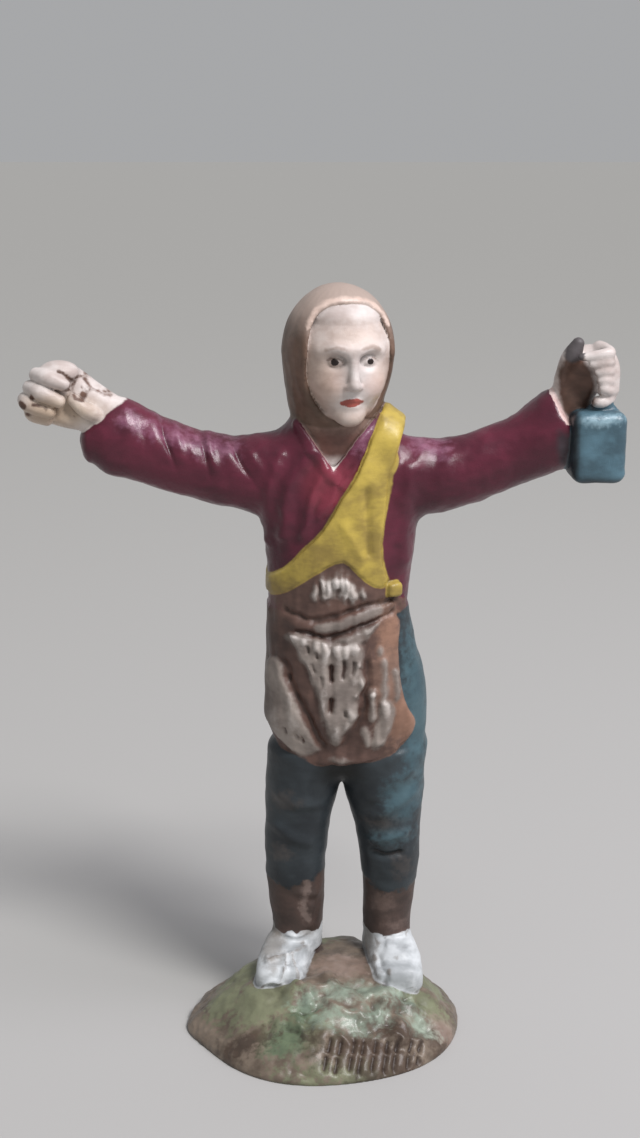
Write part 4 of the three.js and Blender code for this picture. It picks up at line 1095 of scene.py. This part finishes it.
faceDaubs = {
    "eyes": [(side * head["eyeSpacing"], head["eyeLine"] - 0.06, 0.43, 0.4) for side in (-1, 1)],
    "lips": [(0, head["mouthLine"] - 0.02, 1.2, 0.46)],
    "cheeks": [(side * 2.9, 79.3, 1.6, 1.3) for side in (-1, 1)],
    # painted shade: a tan tone down the sides of the face, under the chin and under the hair's rim
    "faceWash": [(-4.0, 79.5, 2.4, 4.8), (0, 75.6, 3.6, 1.2), (4.2, 79.4, 1.6, 3.6), (0.4, 84.9, 3.6, 1.1)],
}
# Lines of paint, among them a painted highlight: the brush's half width, and where it ran
brushLines = {
    "palm": (0.14, [
        [(-31.3, 80.6), (-30.3, 80.1), (-29.6, 79.3), (-30.1, 78.6), (-30.7, 78.3)],
        [(-30.1, 78.6), (-29.4, 77.6), (-28.5, 77.4), (-28.2, 78.1), (-29.0, 78.7)],
        [(-29.6, 79.7), (-29.0, 79.9), (-28.3, 79.2), (-27.9, 78.3), (-26.8, 77.8), (-25.8, 77.6)],
        [(-34.2, 76.9), (-32.6, 76.4)],
    ]),
    "shoe": (0.09, [path for path, half, height in shoeCuts[:4]]),
    "wool": (0.38, [path for path, half, height in fleece["strands"]]),
    "belt": (0.55, [[(-2.4, 51.5), (0, 52.0), (2.6, 52.9), (4.3, 53.5)]]),
    "calf": (0.32, [[(-3.7, 17.9), (-4.1, 16.3), (-4.4, 14.1), (-3.9, 12.5)]]),
    # painted highlight: lighter lilac along the tops of the fist sleeve, the lantern-side shoulder and the
    # collar
    "paintedSheen": (0.6, [
        [(-24.0, 75.0), (-20.5, 73.6), (-16.5, 72.2), (-12.0, 71.6)],
        [(8.2, 73.2), (9.0, 72.0), (11.6, 71.4)],
        [(3.4, 74.6), (2.2, 72.6)],
    ]),
    "thumb": (1.0, [[(25.8, 82.4), (26.4, 84.2)]]),
    "brow": (0.18, [[(side * 1.0, 83.5), (side * 2.0, 83.7), (side * 3.1, 83.3)] for side in (-1, 1)]),
    "lid": (0.09, [[(side * 1.1, 82.1), (side * 1.7, 82.38), (side * 2.3, 82.38), (side * 3.0, 82.05)]
                   for side in (-1, 1)]),
}
smear = [(24.2, 74.2), (25.4, 73.4), (26.2, 74.4), (26.2, 69.8), (24.9, 69.9), (24.3, 71.8)]


def brushed(name, a, b):
    half, paths = brushLines[name]
    return np.min([pathDistance(path, a, b) for path in paths], axis=0) - half


def faceMarks():
    face = np.where(headY < 0, 0, 2)
    marks = {name: spots(places, headX, headZ) + face for name, places in faceDaubs.items()}
    marks["brows"] = brushed("brow", headX, headZ) + face
    marks["lids"] = brushed("lid", headX, headZ) + face
    # painted highlight: a pale line along the raised rim of the hair round the face
    rimHighlight = np.abs(head["opening"].edge(headX, headZ) - 0.3) - 0.14
    marks["hairBand"] = rimHighlight + step(headZ, 85.6, 84.0) * 2 + face
    return marks


def woolMarks(front):
    # the paler paint dragged over the raised wool, and the white at its tips
    raised = 1.2 * (0.06 - relief)
    tops = [(tx, tz, wide * 0.9, tall * 0.9) for tx, tz, wide, tall, rise in fleece["tufts"]]
    tufts = spots(tops, bentX, bentZ)
    wool = np.min([brushed("wool", bentX, bentZ), tufts, *woolPanels().values()], axis=0)
    wool = np.minimum(np.maximum(wool, raised), brushed("belt", bentX, bentZ)) + front
    return {"wool": wool, "woolTips": np.maximum(wool + 0.1, 1.5 * (0.6 - relief) - (z > 50.8) * 0.35)}


def paintMarks():
    front = np.where(carvedNormals[:, 1] < 0.25, 0, 1.5)
    marks = {**faceMarks(), **woolMarks(front)}
    for name, places in daubs.items():
        gap = spots(places, x, z) if name in straightDaubs else spots(places, bentX, bentZ)
        marks[name] = gap + front if name in daubsInFront else gap
    for name in ("mint", "olive", "green", "mudAndShadow", "rust"):
        marks[name] = spots(mound[name], bentX, y)
    marks["calf"] = bentZ - np.interp(x, *legs["hem"])
    marks["calfStreak"] = brushed("calf", bentX, bentZ) + front
    # painted highlight along the sleeve tops, the shoulder and the collar
    marks["paintedSheen"] = brushed("paintedSheen", bentX, bentZ) + front
    # the fist's crease lines, with painted shade where the hand meets the sleeve
    creased = np.minimum(brushed("palm", bentX, bentZ), spots(chips["wristShade"], bentX, bentZ))
    marks["creaseLines"] = np.minimum(creased, spots(chips["fist"], x, z)) + front
    marks["shoeLines"] = np.minimum(brushed("shoe", bentX, bentZ), spots(chips["shoe"], bentX, bentZ)) + front
    # a painted highlight: a pale line along the lit rim of the lantern's sleeve
    past = -Beyond(*smock["lanternCuff"]).distance(x, y, z)
    marks["cuffs"] = np.abs(past - 0.05) - 0.28 + (np.abs(z - 76.6) > 2.2) * 2 + (x < 15) * 2 + front
    # painted shadow: the neck under the chin and down the opening, stopping above its tip, is darkened
    neckShade = np.maximum(np.minimum(np.maximum(z - 76.3, -1.9 - y), z - 74.8), np.abs(x) - 7)
    marks["neck"] = np.maximum(neckShade, 70.9 - z)
    marks["palm"] = outlineDistance(hands["palmShade"], bentX, bentZ) + front + (y > 2.2) * 3
    marks["thumb"] = brushed("thumb", x, z) + (x > 27.3) * 1.0 + step(y, 0.6, 2.0) * 3
    marks["smear"] = outlineDistance(smear, x, z)
    marks["lanternShade"] = np.minimum(blot(x, z, 28.8, 67.6, 4.2, 1.0), 1.6 * (carvedNormals[:, 0] + 0.5))
    marks["strokes"] = np.min([pathDistance(path, x, y) for path in markPaths()], axis=0) - 0.2 + (y > -8) * 2
    return marks


marks = paintMarks()


def hollowness():
    # how far the clay around stands above (creases) or below (edges) each point, in millimetres
    fine = np.sum((smoothed(carved, 6) - carved) * carvedNormals, axis=1)
    broad = np.sum((smoothed(carved, 36) - carved) * carvedNormals, axis=1)
    return smoothed(fine, 1)[:, 0], smoothed(broad, 2)[:, 0]


creaseFine, creaseBroad = hollowness()
print("paint laid out")


# The mesh that stands for the fired piece
def makeFigure():
    mesh = bpy.data.meshes.new("shepherdFigure")
    places = (carved + np.array(sculpt["shift"])) * mm
    mesh.vertices.add(len(places))
    mesh.vertices.foreach_set("co", places.astype(np.float32).ravel())
    mesh.loops.add(quads.size)
    mesh.loops.foreach_set("vertex_index", quads.astype(np.int32).ravel())
    mesh.polygons.add(len(quads))
    mesh.polygons.foreach_set("loop_start", np.arange(0, quads.size, 4, dtype=np.int32))
    mesh.update(calc_edges=True)
    mesh.validate()
    layers = {"creaseFine": creaseFine, "creaseBroad": creaseBroad}
    layers.update({f"{name}Edge": gap for name, gap in edges.items()})
    layers.update({f"{name}Mark": gap for name, gap in marks.items()})
    for name, values in layers.items():
        layer = mesh.attributes.new(name, "FLOAT", "POINT")
        layer.data.foreach_set("value", np.clip(values, -4, 4).astype(np.float32))
    figure = bpy.data.objects.new("shepherdFigure", mesh)
    bpy.context.scene.collection.objects.link(figure)
    thin = figure.modifiers.new("thin", "DECIMATE")
    thin.ratio = min(1.0, sculpt["faces"] / (2 * len(quads)))
    graph = bpy.context.evaluated_depsgraph_get()
    finished = bpy.data.meshes.new_from_object(figure.evaluated_get(graph))
    figure.modifiers.clear()
    figure.data = finished
    finished.name = "shepherdFigureMesh"
    finished.shade_smooth()
    return figure


figure = makeFigure()
print("figure made:", len(figure.data.polygons), "faces")


# Node helpers and the groups that every paint uses
class Nodes:
    def __init__(self, tree):
        self.tree = tree

    def new(self, kind, inputs=None, **settings):
        made = self.tree.nodes.new(kind)
        for name, value in settings.items():
            setattr(made, name, value)
        for name, value in (inputs or {}).items():
            if isinstance(value, bpy.types.NodeSocket):
                self.tree.links.new(value, made.inputs[name])
            else:
                made.inputs[name].default_value = value
        return made

    def math(self, operation, a, b):
        return self.new("ShaderNodeMath", {0: a, 1: b}, operation=operation).outputs[0]

    def spread(self, value, fromLow, fromHigh, toLow=0.0, toHigh=1.0):
        inputs = {"Value": value, "From Min": fromLow, "From Max": fromHigh,
                  "To Min": toLow, "To Max": toHigh}
        return self.new("ShaderNodeMapRange", inputs, interpolation_type="SMOOTHSTEP").outputs[0]

    def mix(self, factor, a, b):
        return self.new("ShaderNodeMix", {0: factor, 6: a, 7: b}, data_type="RGBA").outputs[2]

    def blend(self, factor, a, b):
        return self.new("ShaderNodeMix", {0: factor, 2: a, 3: b}, data_type="FLOAT").outputs[0]

    def noise(self, place, scale, detail=2.0, rough=0.5, distortion=0.0):
        inputs = {"Vector": place, "Scale": scale, "Detail": detail, "Roughness": rough,
                  "Distortion": distortion}
        return self.new("ShaderNodeTexNoise", inputs).outputs[0]

    def layer(self, name):
        return self.new("ShaderNodeAttribute", attribute_name=name).outputs["Fac"]

    def group(self, tree, inputs):
        return self.new("ShaderNodeGroup", inputs, node_tree=tree).outputs


def tone(code):
    # a colour as seen on screen, as the shader's own numbers
    parts = [int(code[i:i + 2], 16) / 255 for i in (1, 3, 5)]
    return (*[c / 12.92 if c <= 0.04045 else ((c + 0.055) / 1.055) ** 2.4 for c in parts], 1.0)


def newGroup(name, ins, outs):
    # sockets by their kind
    group = bpy.data.node_groups.new(name, "ShaderNodeTree")
    for way, sockets in (("INPUT", ins), ("OUTPUT", outs)):
        for kind, labels in sockets.items():
            for label in labels:
                group.interface.new_socket(label, in_out=way, socket_type=f"NodeSocket{kind}")
    nodes = Nodes(group)
    return group, nodes, nodes.new("NodeGroupInput").outputs


def paintCoatGroup():
    ins = {"Color": ("Below", "Light", "Dark"),
           "Float": ("Below Roughness", "Blotch", "Edge", "Softness", "Within", "Roughness", "Cover")}
    group, nodes, given = newGroup("paint coat", ins, {"Color": ("Color",), "Float": ("Roughness", "Mask")})
    inner = nodes.math("MULTIPLY", given["Softness"], -1.0)
    mask = nodes.spread(given["Edge"], given["Softness"], inner)
    mask = nodes.math("MULTIPLY", nodes.math("MULTIPLY", mask, given["Within"]), given["Cover"])
    paint = nodes.mix(given["Blotch"], given["Dark"], given["Light"])
    rough = nodes.blend(mask, given["Below Roughness"], given["Roughness"])
    color = nodes.mix(mask, given["Below"], paint)
    nodes.new("NodeGroupOutput", {"Color": color, "Roughness": rough, "Mask": mask})
    return group


def brushGroup():
    ins = {"Vector": ("Place",), "Float": ("Scale",)}
    group, nodes, given = newGroup("brush marks", ins, {"Float": ("Blotch",)})
    coarse = nodes.noise(given["Place"], given["Scale"], 3.0, 0.55, 0.4)
    # streaks are drawn out to the sides
    drawn = nodes.new("ShaderNodeVectorMath", {0: given["Place"], 1: (0.45, 0.45, 1.0)}, operation="MULTIPLY")
    streak = nodes.noise(drawn.outputs[0], nodes.math("MULTIPLY", given["Scale"], 6.0), 2.0, 0.6, 0.2)
    blotch = nodes.math("ADD", nodes.math("MULTIPLY", coarse, 0.75), nodes.math("MULTIPLY", streak, 0.25))
    nodes.new("NodeGroupOutput", {"Blotch": nodes.spread(blotch, 0.34, 0.66)})
    return group


def creaseGroup():
    # darkens the hollows with grime and with painted shade
    ins = {"Color": ("Color", "Grime And Shade"), "Float": ("Hollow", "From", "To", "Amount")}
    group, nodes, given = newGroup("grime and shade in creases", ins, {"Color": ("Color",)})
    mask = nodes.math("MULTIPLY", nodes.spread(given["Hollow"], given["From"], given["To"]), given["Amount"])
    nodes.new("NodeGroupOutput", {"Color": nodes.mix(mask, given["Color"], given["Grime And Shade"])})
    return group


def wearGroup():
    ins = {"Color": ("Color", "Bare"), "Float": ("Roughness", "Proud", "Grain", "Start", "Bare Roughness")}
    group, nodes, given = newGroup("worn edges", ins, {"Color": ("Color",), "Float": ("Roughness",)})
    level = nodes.math("ADD", given["Proud"], nodes.math("MULTIPLY", given["Grain"], 0.12))
    mask = nodes.spread(nodes.math("SUBTRACT", level, given["Start"]), 0.0, 0.02)
    color = nodes.mix(mask, given["Color"], given["Bare"])
    rough = nodes.blend(mask, given["Roughness"], given["Bare Roughness"])
    nodes.new("NodeGroupOutput", {"Color": color, "Roughness": rough})
    return group


paintCoat, brushMarks, creaseGrimeAndShade, wornEdges = paintCoatGroup(), brushGroup(), creaseGroup(), wearGroup()


class Coat:
    # Its layer, light and dark tone and gloss, the coat that it stays within, and how its edge runs
    def __init__(self, layer, light, dark, rough, only=None, ragged=0.5, soft=0.07, cover=1.0, blotch=0.22,
                 lap=None):
        self.layer, self.light, self.dark, self.rough, self.only = layer, tone(light), tone(dark), rough, only
        self.ragged, self.soft, self.cover, self.blotch = ragged, soft, cover, blotch
        # a whole coat laps a little over its neighbours, so that no bare clay is left between them
        self.lap = 0.06 + 0.25 * ragged if lap is None else lap


# Every coat in the order it was brushed on
coats = [
    Coat("groundEdge", "#7c6f62", "#574c42", 0.37, blotch=0.3),
    Coat("oliveMark", "#7a7f64", "#5f624d", 0.4, "groundEdge", ragged=6, soft=0.9, cover=0.85),
    Coat("greenMark", "#6a795f", "#505d4a", 0.36, "groundEdge", ragged=4, soft=0.9, cover=0.85),
    # dark earth, and painted shadow by the lantern shoe
    Coat("mudAndShadowMark", "#4c3d33", "#352a24", 0.4, "groundEdge", ragged=5, soft=0.8, cover=0.8),
    Coat("rustMark", "#94837a", "#786559", 0.45, "groundEdge", ragged=5, soft=0.9, cover=0.75),
    Coat("mintMark", "#a4b3a3", "#788677", 0.2, "groundEdge", ragged=4, soft=1.1, cover=0.75),
    Coat("legEdge", "#343b3f", "#24292d", 0.42, blotch=0.16),
    # lighter teal, partly a painted highlight on the lit side of the breeches
    Coat("washAndHighlightMark", "#4f6a72", "#3f5861", 0.4, "legEdge", ragged=4, soft=1.2, cover=0.75),
    Coat("dabsMark", "#514b48", "#3c3937", 0.4, "legEdge", ragged=4, soft=0.8, cover=0.6),
    # painted shadow between the legs
    Coat("forkShadowMark", "#1f2122", "#161718", 0.5, "legEdge", soft=1.3, cover=0.92),
    Coat("calfMark", "#54433d", "#403530", 0.5, "legEdge", ragged=3.2, soft=0.35),
    Coat("shinDarkMark", "#3b302c", "#2d2522", 0.5, "calfMark", ragged=2.5, soft=0.8, cover=0.6),
    Coat("shinPaleMark", "#7d6b64", "#64534c", 0.45, "calfMark", ragged=2.5, soft=0.6, cover=0.6),
    Coat("calfStreakMark", "#8d7d76", "#6f6059", 0.4, "legEdge", ragged=1.5, soft=0.3, cover=0.65),
    Coat("shoeEdge", "#c8ccce", "#9da1a3", 0.4, ragged=0.15, blotch=0.3),
    Coat("shoeLinesMark", "#756a60", "#4c433c", 0.5, "shoeEdge", ragged=0.6, soft=0.16, cover=0.7),
    Coat("shoeSoilMark", "#857d74", "#6c655e", 0.5, "shoeEdge", ragged=2.5, soft=0.7, cover=0.6),
    Coat("fleeceEdge", "#6b5249", "#4f3c36", 0.45, ragged=0.15, lap=-0.06),
    Coat("leatherEdge", "#5c463e", "#44342e", 0.5),
    Coat("warmMark", "#84695b", "#695247", 0.45, "fleeceEdge", ragged=4, soft=1.0, cover=0.85),
    Coat("tanMark", "#9c7763", "#80604f", 0.42, "fleeceEdge", ragged=3, soft=1.2, cover=0.75),
    Coat("woolMark", "#a0968e", "#766d67", 0.45, "fleeceEdge", ragged=0.7, soft=0.3, cover=0.88, blotch=0.2),
    Coat("woolTipsMark", "#dcd5d0", "#b5aba4", 0.33, "fleeceEdge", ragged=0.6, soft=0.3, cover=0.85,
         blotch=0.3),
    # painted shade on the left of the fleece
    Coat("fleeceLeftShadeMark", "#463732", "#342825", 0.45, "fleeceEdge", ragged=2, soft=1.6, cover=0.55),
    Coat("smockEdge", "#612637", "#491d2a", 0.29, ragged=0.25, blotch=0.14),
    # painted highlight on the smock's upper surfaces
    Coat("paintedSheenMark", "#a8798f", "#80506a", 0.24, "smockEdge", ragged=3, soft=0.9, cover=0.55, blotch=0.5),
    Coat("sashEdge", "#bda64e", "#8d793f", 0.36, ragged=0.08),
    Coat("sashFadeMark", "#6f5a42", "#5a4836", 0.4, "sashEdge", ragged=2, soft=1.2, cover=0.6),
    Coat("skinEdge", "#d3cbc7", "#b3a59f", 0.42, ragged=0.2),
    # painted shadow under the chin
    Coat("neckMark", "#7a574e", "#5a413a", 0.45, "skinEdge", soft=0.6),
    Coat("palmWarmMark", "#cdb391", "#b49a79", 0.45, "skinEdge", soft=1.2, cover=0.55),
    Coat("cheeksMark", "#d8b4a8", "#cda79b", 0.42, "skinEdge", soft=0.9, cover=0.45),
    # painted shade round the face
    Coat("faceWashMark", "#c2ab9c", "#a89182", 0.42, "skinEdge", ragged=1.5, soft=1.6, cover=0.75),
    Coat("hairEdge", "#725a4d", "#574539", 0.42, ragged=0.12),
    # painted highlight on the hair's rim
    Coat("hairBandMark", "#d9c4b8", "#bda598", 0.35, "hairEdge", soft=0.15),
    Coat("lanternEdge", "#557380", "#3d525c", 0.3, ragged=0.3),
    # painted highlight on the lantern's top rim
    Coat("lanternTopHighlightMark", "#a5bfc9", "#86a4b0", 0.25, "lanternEdge", ragged=1.5, soft=0.4, cover=0.75),
    # painted highlight on the sleeve's rim
    Coat("cuffsMark", "#e2cdc9", "#cfb0ab", 0.4),
    # painted shade in the hollow of the cupped palm
    Coat("palmMark", "#6b5146", "#4b3930", 0.5, "skinEdge", soft=0.35),
    Coat("thumbMark", "#565152", "#3d393a", 0.5, "skinEdge", soft=0.2),
    Coat("creaseLinesMark", "#76584a", "#4d382e", 0.5, "skinEdge", soft=0.13),
    Coat("smearMark", "#4a4a4f", "#2c2b30", 0.4, soft=0.5, cover=0.75),
    Coat("lanternShadeMark", "#2f3c44", "#1b242a", 0.45, "lanternEdge", soft=0.5),
    Coat("strokesMark", "#3a2e26", "#2a211c", 0.5, "groundEdge", ragged=0.3, soft=0.2, cover=0.85),
    Coat("browsMark", "#9a8579", "#857066", 0.45, "skinEdge", soft=0.16, cover=0.65),
    Coat("lidsMark", "#7a6358", "#65514a", 0.45, "skinEdge", soft=0.1, cover=0.7),
    Coat("lipsMark", "#9a5047", "#84423b", 0.35, "skinEdge", soft=0.06),
    Coat("eyesMark", "#2a201d", "#1c1514", 0.25, "skinEdge", soft=0.05),
]


clayBody = {
    "dark": "#7a4a38",
    "light": "#a5664c",
    "grain": 2.4,
    "fineGrain": 9.0,
    "wobble": 1.1,
    # grime and painted shade in creases: where a crease starts to hold it, where it is full, tone, amount
    "fineGrimeAndShade": (0.02, 0.13, "#2b1f1b", 0.5),
    "broadGrimeAndShade": (0.1, 0.7, "#33251f", 0.45),
    "worn": "#8f7b70",
    "wornFrom": 0.4,
    "bump": (0.35, 0.00012),
    "shine": 0.36,
}


def paintOver(nodes, place, color, rough):
    # every coat over the last, each within its own edge
    wobble = nodes.math("SUBTRACT", nodes.noise(place, clayBody["wobble"], 3.0, 0.6), 0.5)
    masks = {}
    for coat in coats:
        edge = nodes.math("ADD", nodes.layer(coat.layer), nodes.math("MULTIPLY", wobble, coat.ragged))
        if coat.layer.endswith("Edge"):
            edge = nodes.math("SUBTRACT", edge, coat.lap)
        brush = nodes.group(brushMarks, {"Place": place, "Scale": coat.blotch})
        inputs = {"Below": color, "Below Roughness": rough, "Light": coat.light, "Dark": coat.dark,
                  "Blotch": brush["Blotch"], "Edge": edge, "Softness": coat.soft,
                  "Within": masks.get(coat.only, 1.0), "Roughness": coat.rough, "Cover": coat.cover}
        done = nodes.group(paintCoat, inputs)
        masks[coat.layer] = done["Mask"]
        color, rough = done["Color"], done["Roughness"]
        if coat.layer == "hairEdge":
            color = crownHighlight(nodes, place, color, edge)
        if coat.layer == "smockEdge":
            color = redAtNeck(nodes, place, color, edge)
    return color, rough


def paintedTerracotta():
    material = bpy.data.materials.new("painted_terracotta")
    material.use_nodes = True
    tree = material.node_tree
    tree.nodes.clear()
    nodes = Nodes(tree)
    place = nodes.new("ShaderNodeTexCoord").outputs["Object"]
    place = nodes.new("ShaderNodeVectorMath", {0: place, "Scale": 1 / mm}, operation="SCALE").outputs[0]
    grain = nodes.noise(place, clayBody["grain"], 4.0, 0.6)
    fineGrain = nodes.noise(place, clayBody["fineGrain"], 2.0, 0.6)
    color = nodes.mix(nodes.spread(grain, 0.35, 0.65), tone(clayBody["dark"]), tone(clayBody["light"]))
    color, rough = paintOver(nodes, place, color, nodes.spread(grain, 0.3, 0.7, 0.55, 0.7))
    hollow = nodes.layer("creaseFine")
    # grime and painted shade in the fine and the broad hollows
    for creaseKind, depth in (("fineGrimeAndShade", hollow), ("broadGrimeAndShade", nodes.layer("creaseBroad"))):
        start, full, creaseTone, amount = clayBody[creaseKind]
        color = nodes.group(creaseGrimeAndShade, {"Color": color, "Hollow": depth, "From": start, "To": full,
                                            "Grime And Shade": tone(creaseTone), "Amount": amount})["Color"]
    worn = nodes.group(wornEdges, {
        "Color": color, "Roughness": rough, "Proud": nodes.math("MULTIPLY", hollow, -1.0), "Grain": grain,
        "Start": clayBody["wornFrom"], "Bare": tone(clayBody["worn"]), "Bare Roughness": 0.55})
    bump = nodes.math("ADD", nodes.math("MULTIPLY", grain, 0.6), nodes.math("MULTIPLY", fineGrain, 0.4))
    strength, distance = clayBody["bump"]
    raised = nodes.new("ShaderNodeBump", {"Height": bump, "Strength": strength, "Distance": distance})
    uneven = nodes.math("MULTIPLY", nodes.math("SUBTRACT", fineGrain, 0.5), 0.12)
    shader = nodes.new("ShaderNodeBsdfPrincipled", {
        "Base Color": worn["Color"], "Roughness": nodes.math("ADD", worn["Roughness"], uneven),
        "Normal": raised.outputs[0], "Specular IOR Level": clayBody["shine"]})
    nodes.new("ShaderNodeOutputMaterial", {"Surface": shader.outputs[0]})
    return material


def crownHighlight(nodes, place, color, edge):
    # painted highlight: the hair lightens to tan towards the lit crown
    height = nodes.new("ShaderNodeSeparateXYZ", {0: place}).outputs["Z"]
    reach = nodes.math("ADD", height, nodes.math("MULTIPLY", nodes.noise(place, 0.4, 3.0), 4.0))
    pale = nodes.mix(nodes.spread(reach, 85.5, 90.5), color, tone("#a5948a"))
    return nodes.mix(nodes.spread(edge, 0.1, -0.1), color, pale)


def redAtNeck(nodes, place, color, edge):
    # a warmer red round the neck opening
    away = nodes.new("ShaderNodeVectorMath", {0: place, 1: (1.0, -3.0, 68.0)}, operation="DISTANCE")
    warm = nodes.mix(nodes.spread(away.outputs["Value"], 4.6, 1.6, 0.0, 0.5), color, tone("#9c4150"))
    return nodes.mix(nodes.spread(edge, 0.1, -0.1), color, warm)


figure.data.materials.clear()
figure.data.materials.append(paintedTerracotta())
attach(figure, "root")
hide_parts("nativity_figure")
print("painted")


# Floor, light and camera
studio = {
    "floor": "#acaba9",
    "floorReach": 3.0,
    "sun": {"from": (0.46, -0.52, 0.9), "angle": 0.3, "power": 2.25, "tint": (1.0, 0.985, 0.96)},
    "window": {"at": (0.22, -0.12, 0.36), "size": 0.26, "power": 1.1, "tint": (0.92, 0.9, 1.0)},
    "world": ("#c9cacc", 0.66),
}


def makeFloor():
    mesh = bpy.data.meshes.new("paleFloor")
    reach = studio["floorReach"]
    corners = [(-reach, -reach, 0), (reach, -reach, 0), (reach, reach, 0), (-reach, reach, 0)]
    mesh.from_pydata(corners, [], [(0, 1, 2, 3)])
    floor = bpy.data.objects.new("paleFloor", mesh)
    bpy.context.scene.collection.objects.link(floor)
    material = bpy.data.materials.new("paleFloor")
    material.use_nodes = True
    shader = material.node_tree.nodes["Principled BSDF"]
    shader.inputs["Base Color"].default_value = tone(studio["floor"])
    shader.inputs["Roughness"].default_value = 0.7
    mesh.materials.append(material)


def addLight(name, kind, at, settings):
    data = bpy.data.lights.new(name, kind)
    data.energy = settings["power"]
    data.color = settings["tint"]
    light = bpy.data.objects.new(name, data)
    light.location = at
    # every light looks at the middle of the figure
    aim = Vector((0, 0, 0.045)) - light.location
    light.rotation_euler = aim.to_track_quat("-Z", "Y").to_euler()
    bpy.context.scene.collection.objects.link(light)
    return data


def makeLight():
    addLight("sun", "SUN", studio["sun"]["from"], studio["sun"]).angle = studio["sun"]["angle"]
    addLight("window", "AREA", studio["window"]["at"], studio["window"]).size = studio["window"]["size"]
    world = bpy.data.worlds.new("studio")
    world.use_nodes = True
    back = world.node_tree.nodes["Background"]
    back.inputs["Color"].default_value = tone(studio["world"][0])
    back.inputs["Strength"].default_value = studio["world"][1]
    bpy.context.scene.world = world
    bpy.context.scene.view_settings.view_transform = "Standard"


# The camera stands in front and looks down a little, as the photograph was taken
view = {
    "at": (-0.000338, -0.1934, 0.1098),
    "down": math.atan(471 / 1750),
    # the lens, in pixels of a picture this high
    "pixels": 1750,
    "height": 1138,
    "sensor": 36.0,
    "nearest": 0.005,
}


def makeCamera():
    data = bpy.data.cameras.new("camera")
    data.sensor_width = view["sensor"]
    data.lens = view["pixels"] / view["height"] * view["sensor"]
    data.clip_start = view["nearest"]
    camera = bpy.data.objects.new("camera", data)
    camera.location = view["at"]
    camera.rotation_euler = (math.pi / 2 - view["down"], 0, 0)
    bpy.context.scene.collection.objects.link(camera)
    bpy.context.scene.camera = camera


makeFloor()
makeLight()
makeCamera()
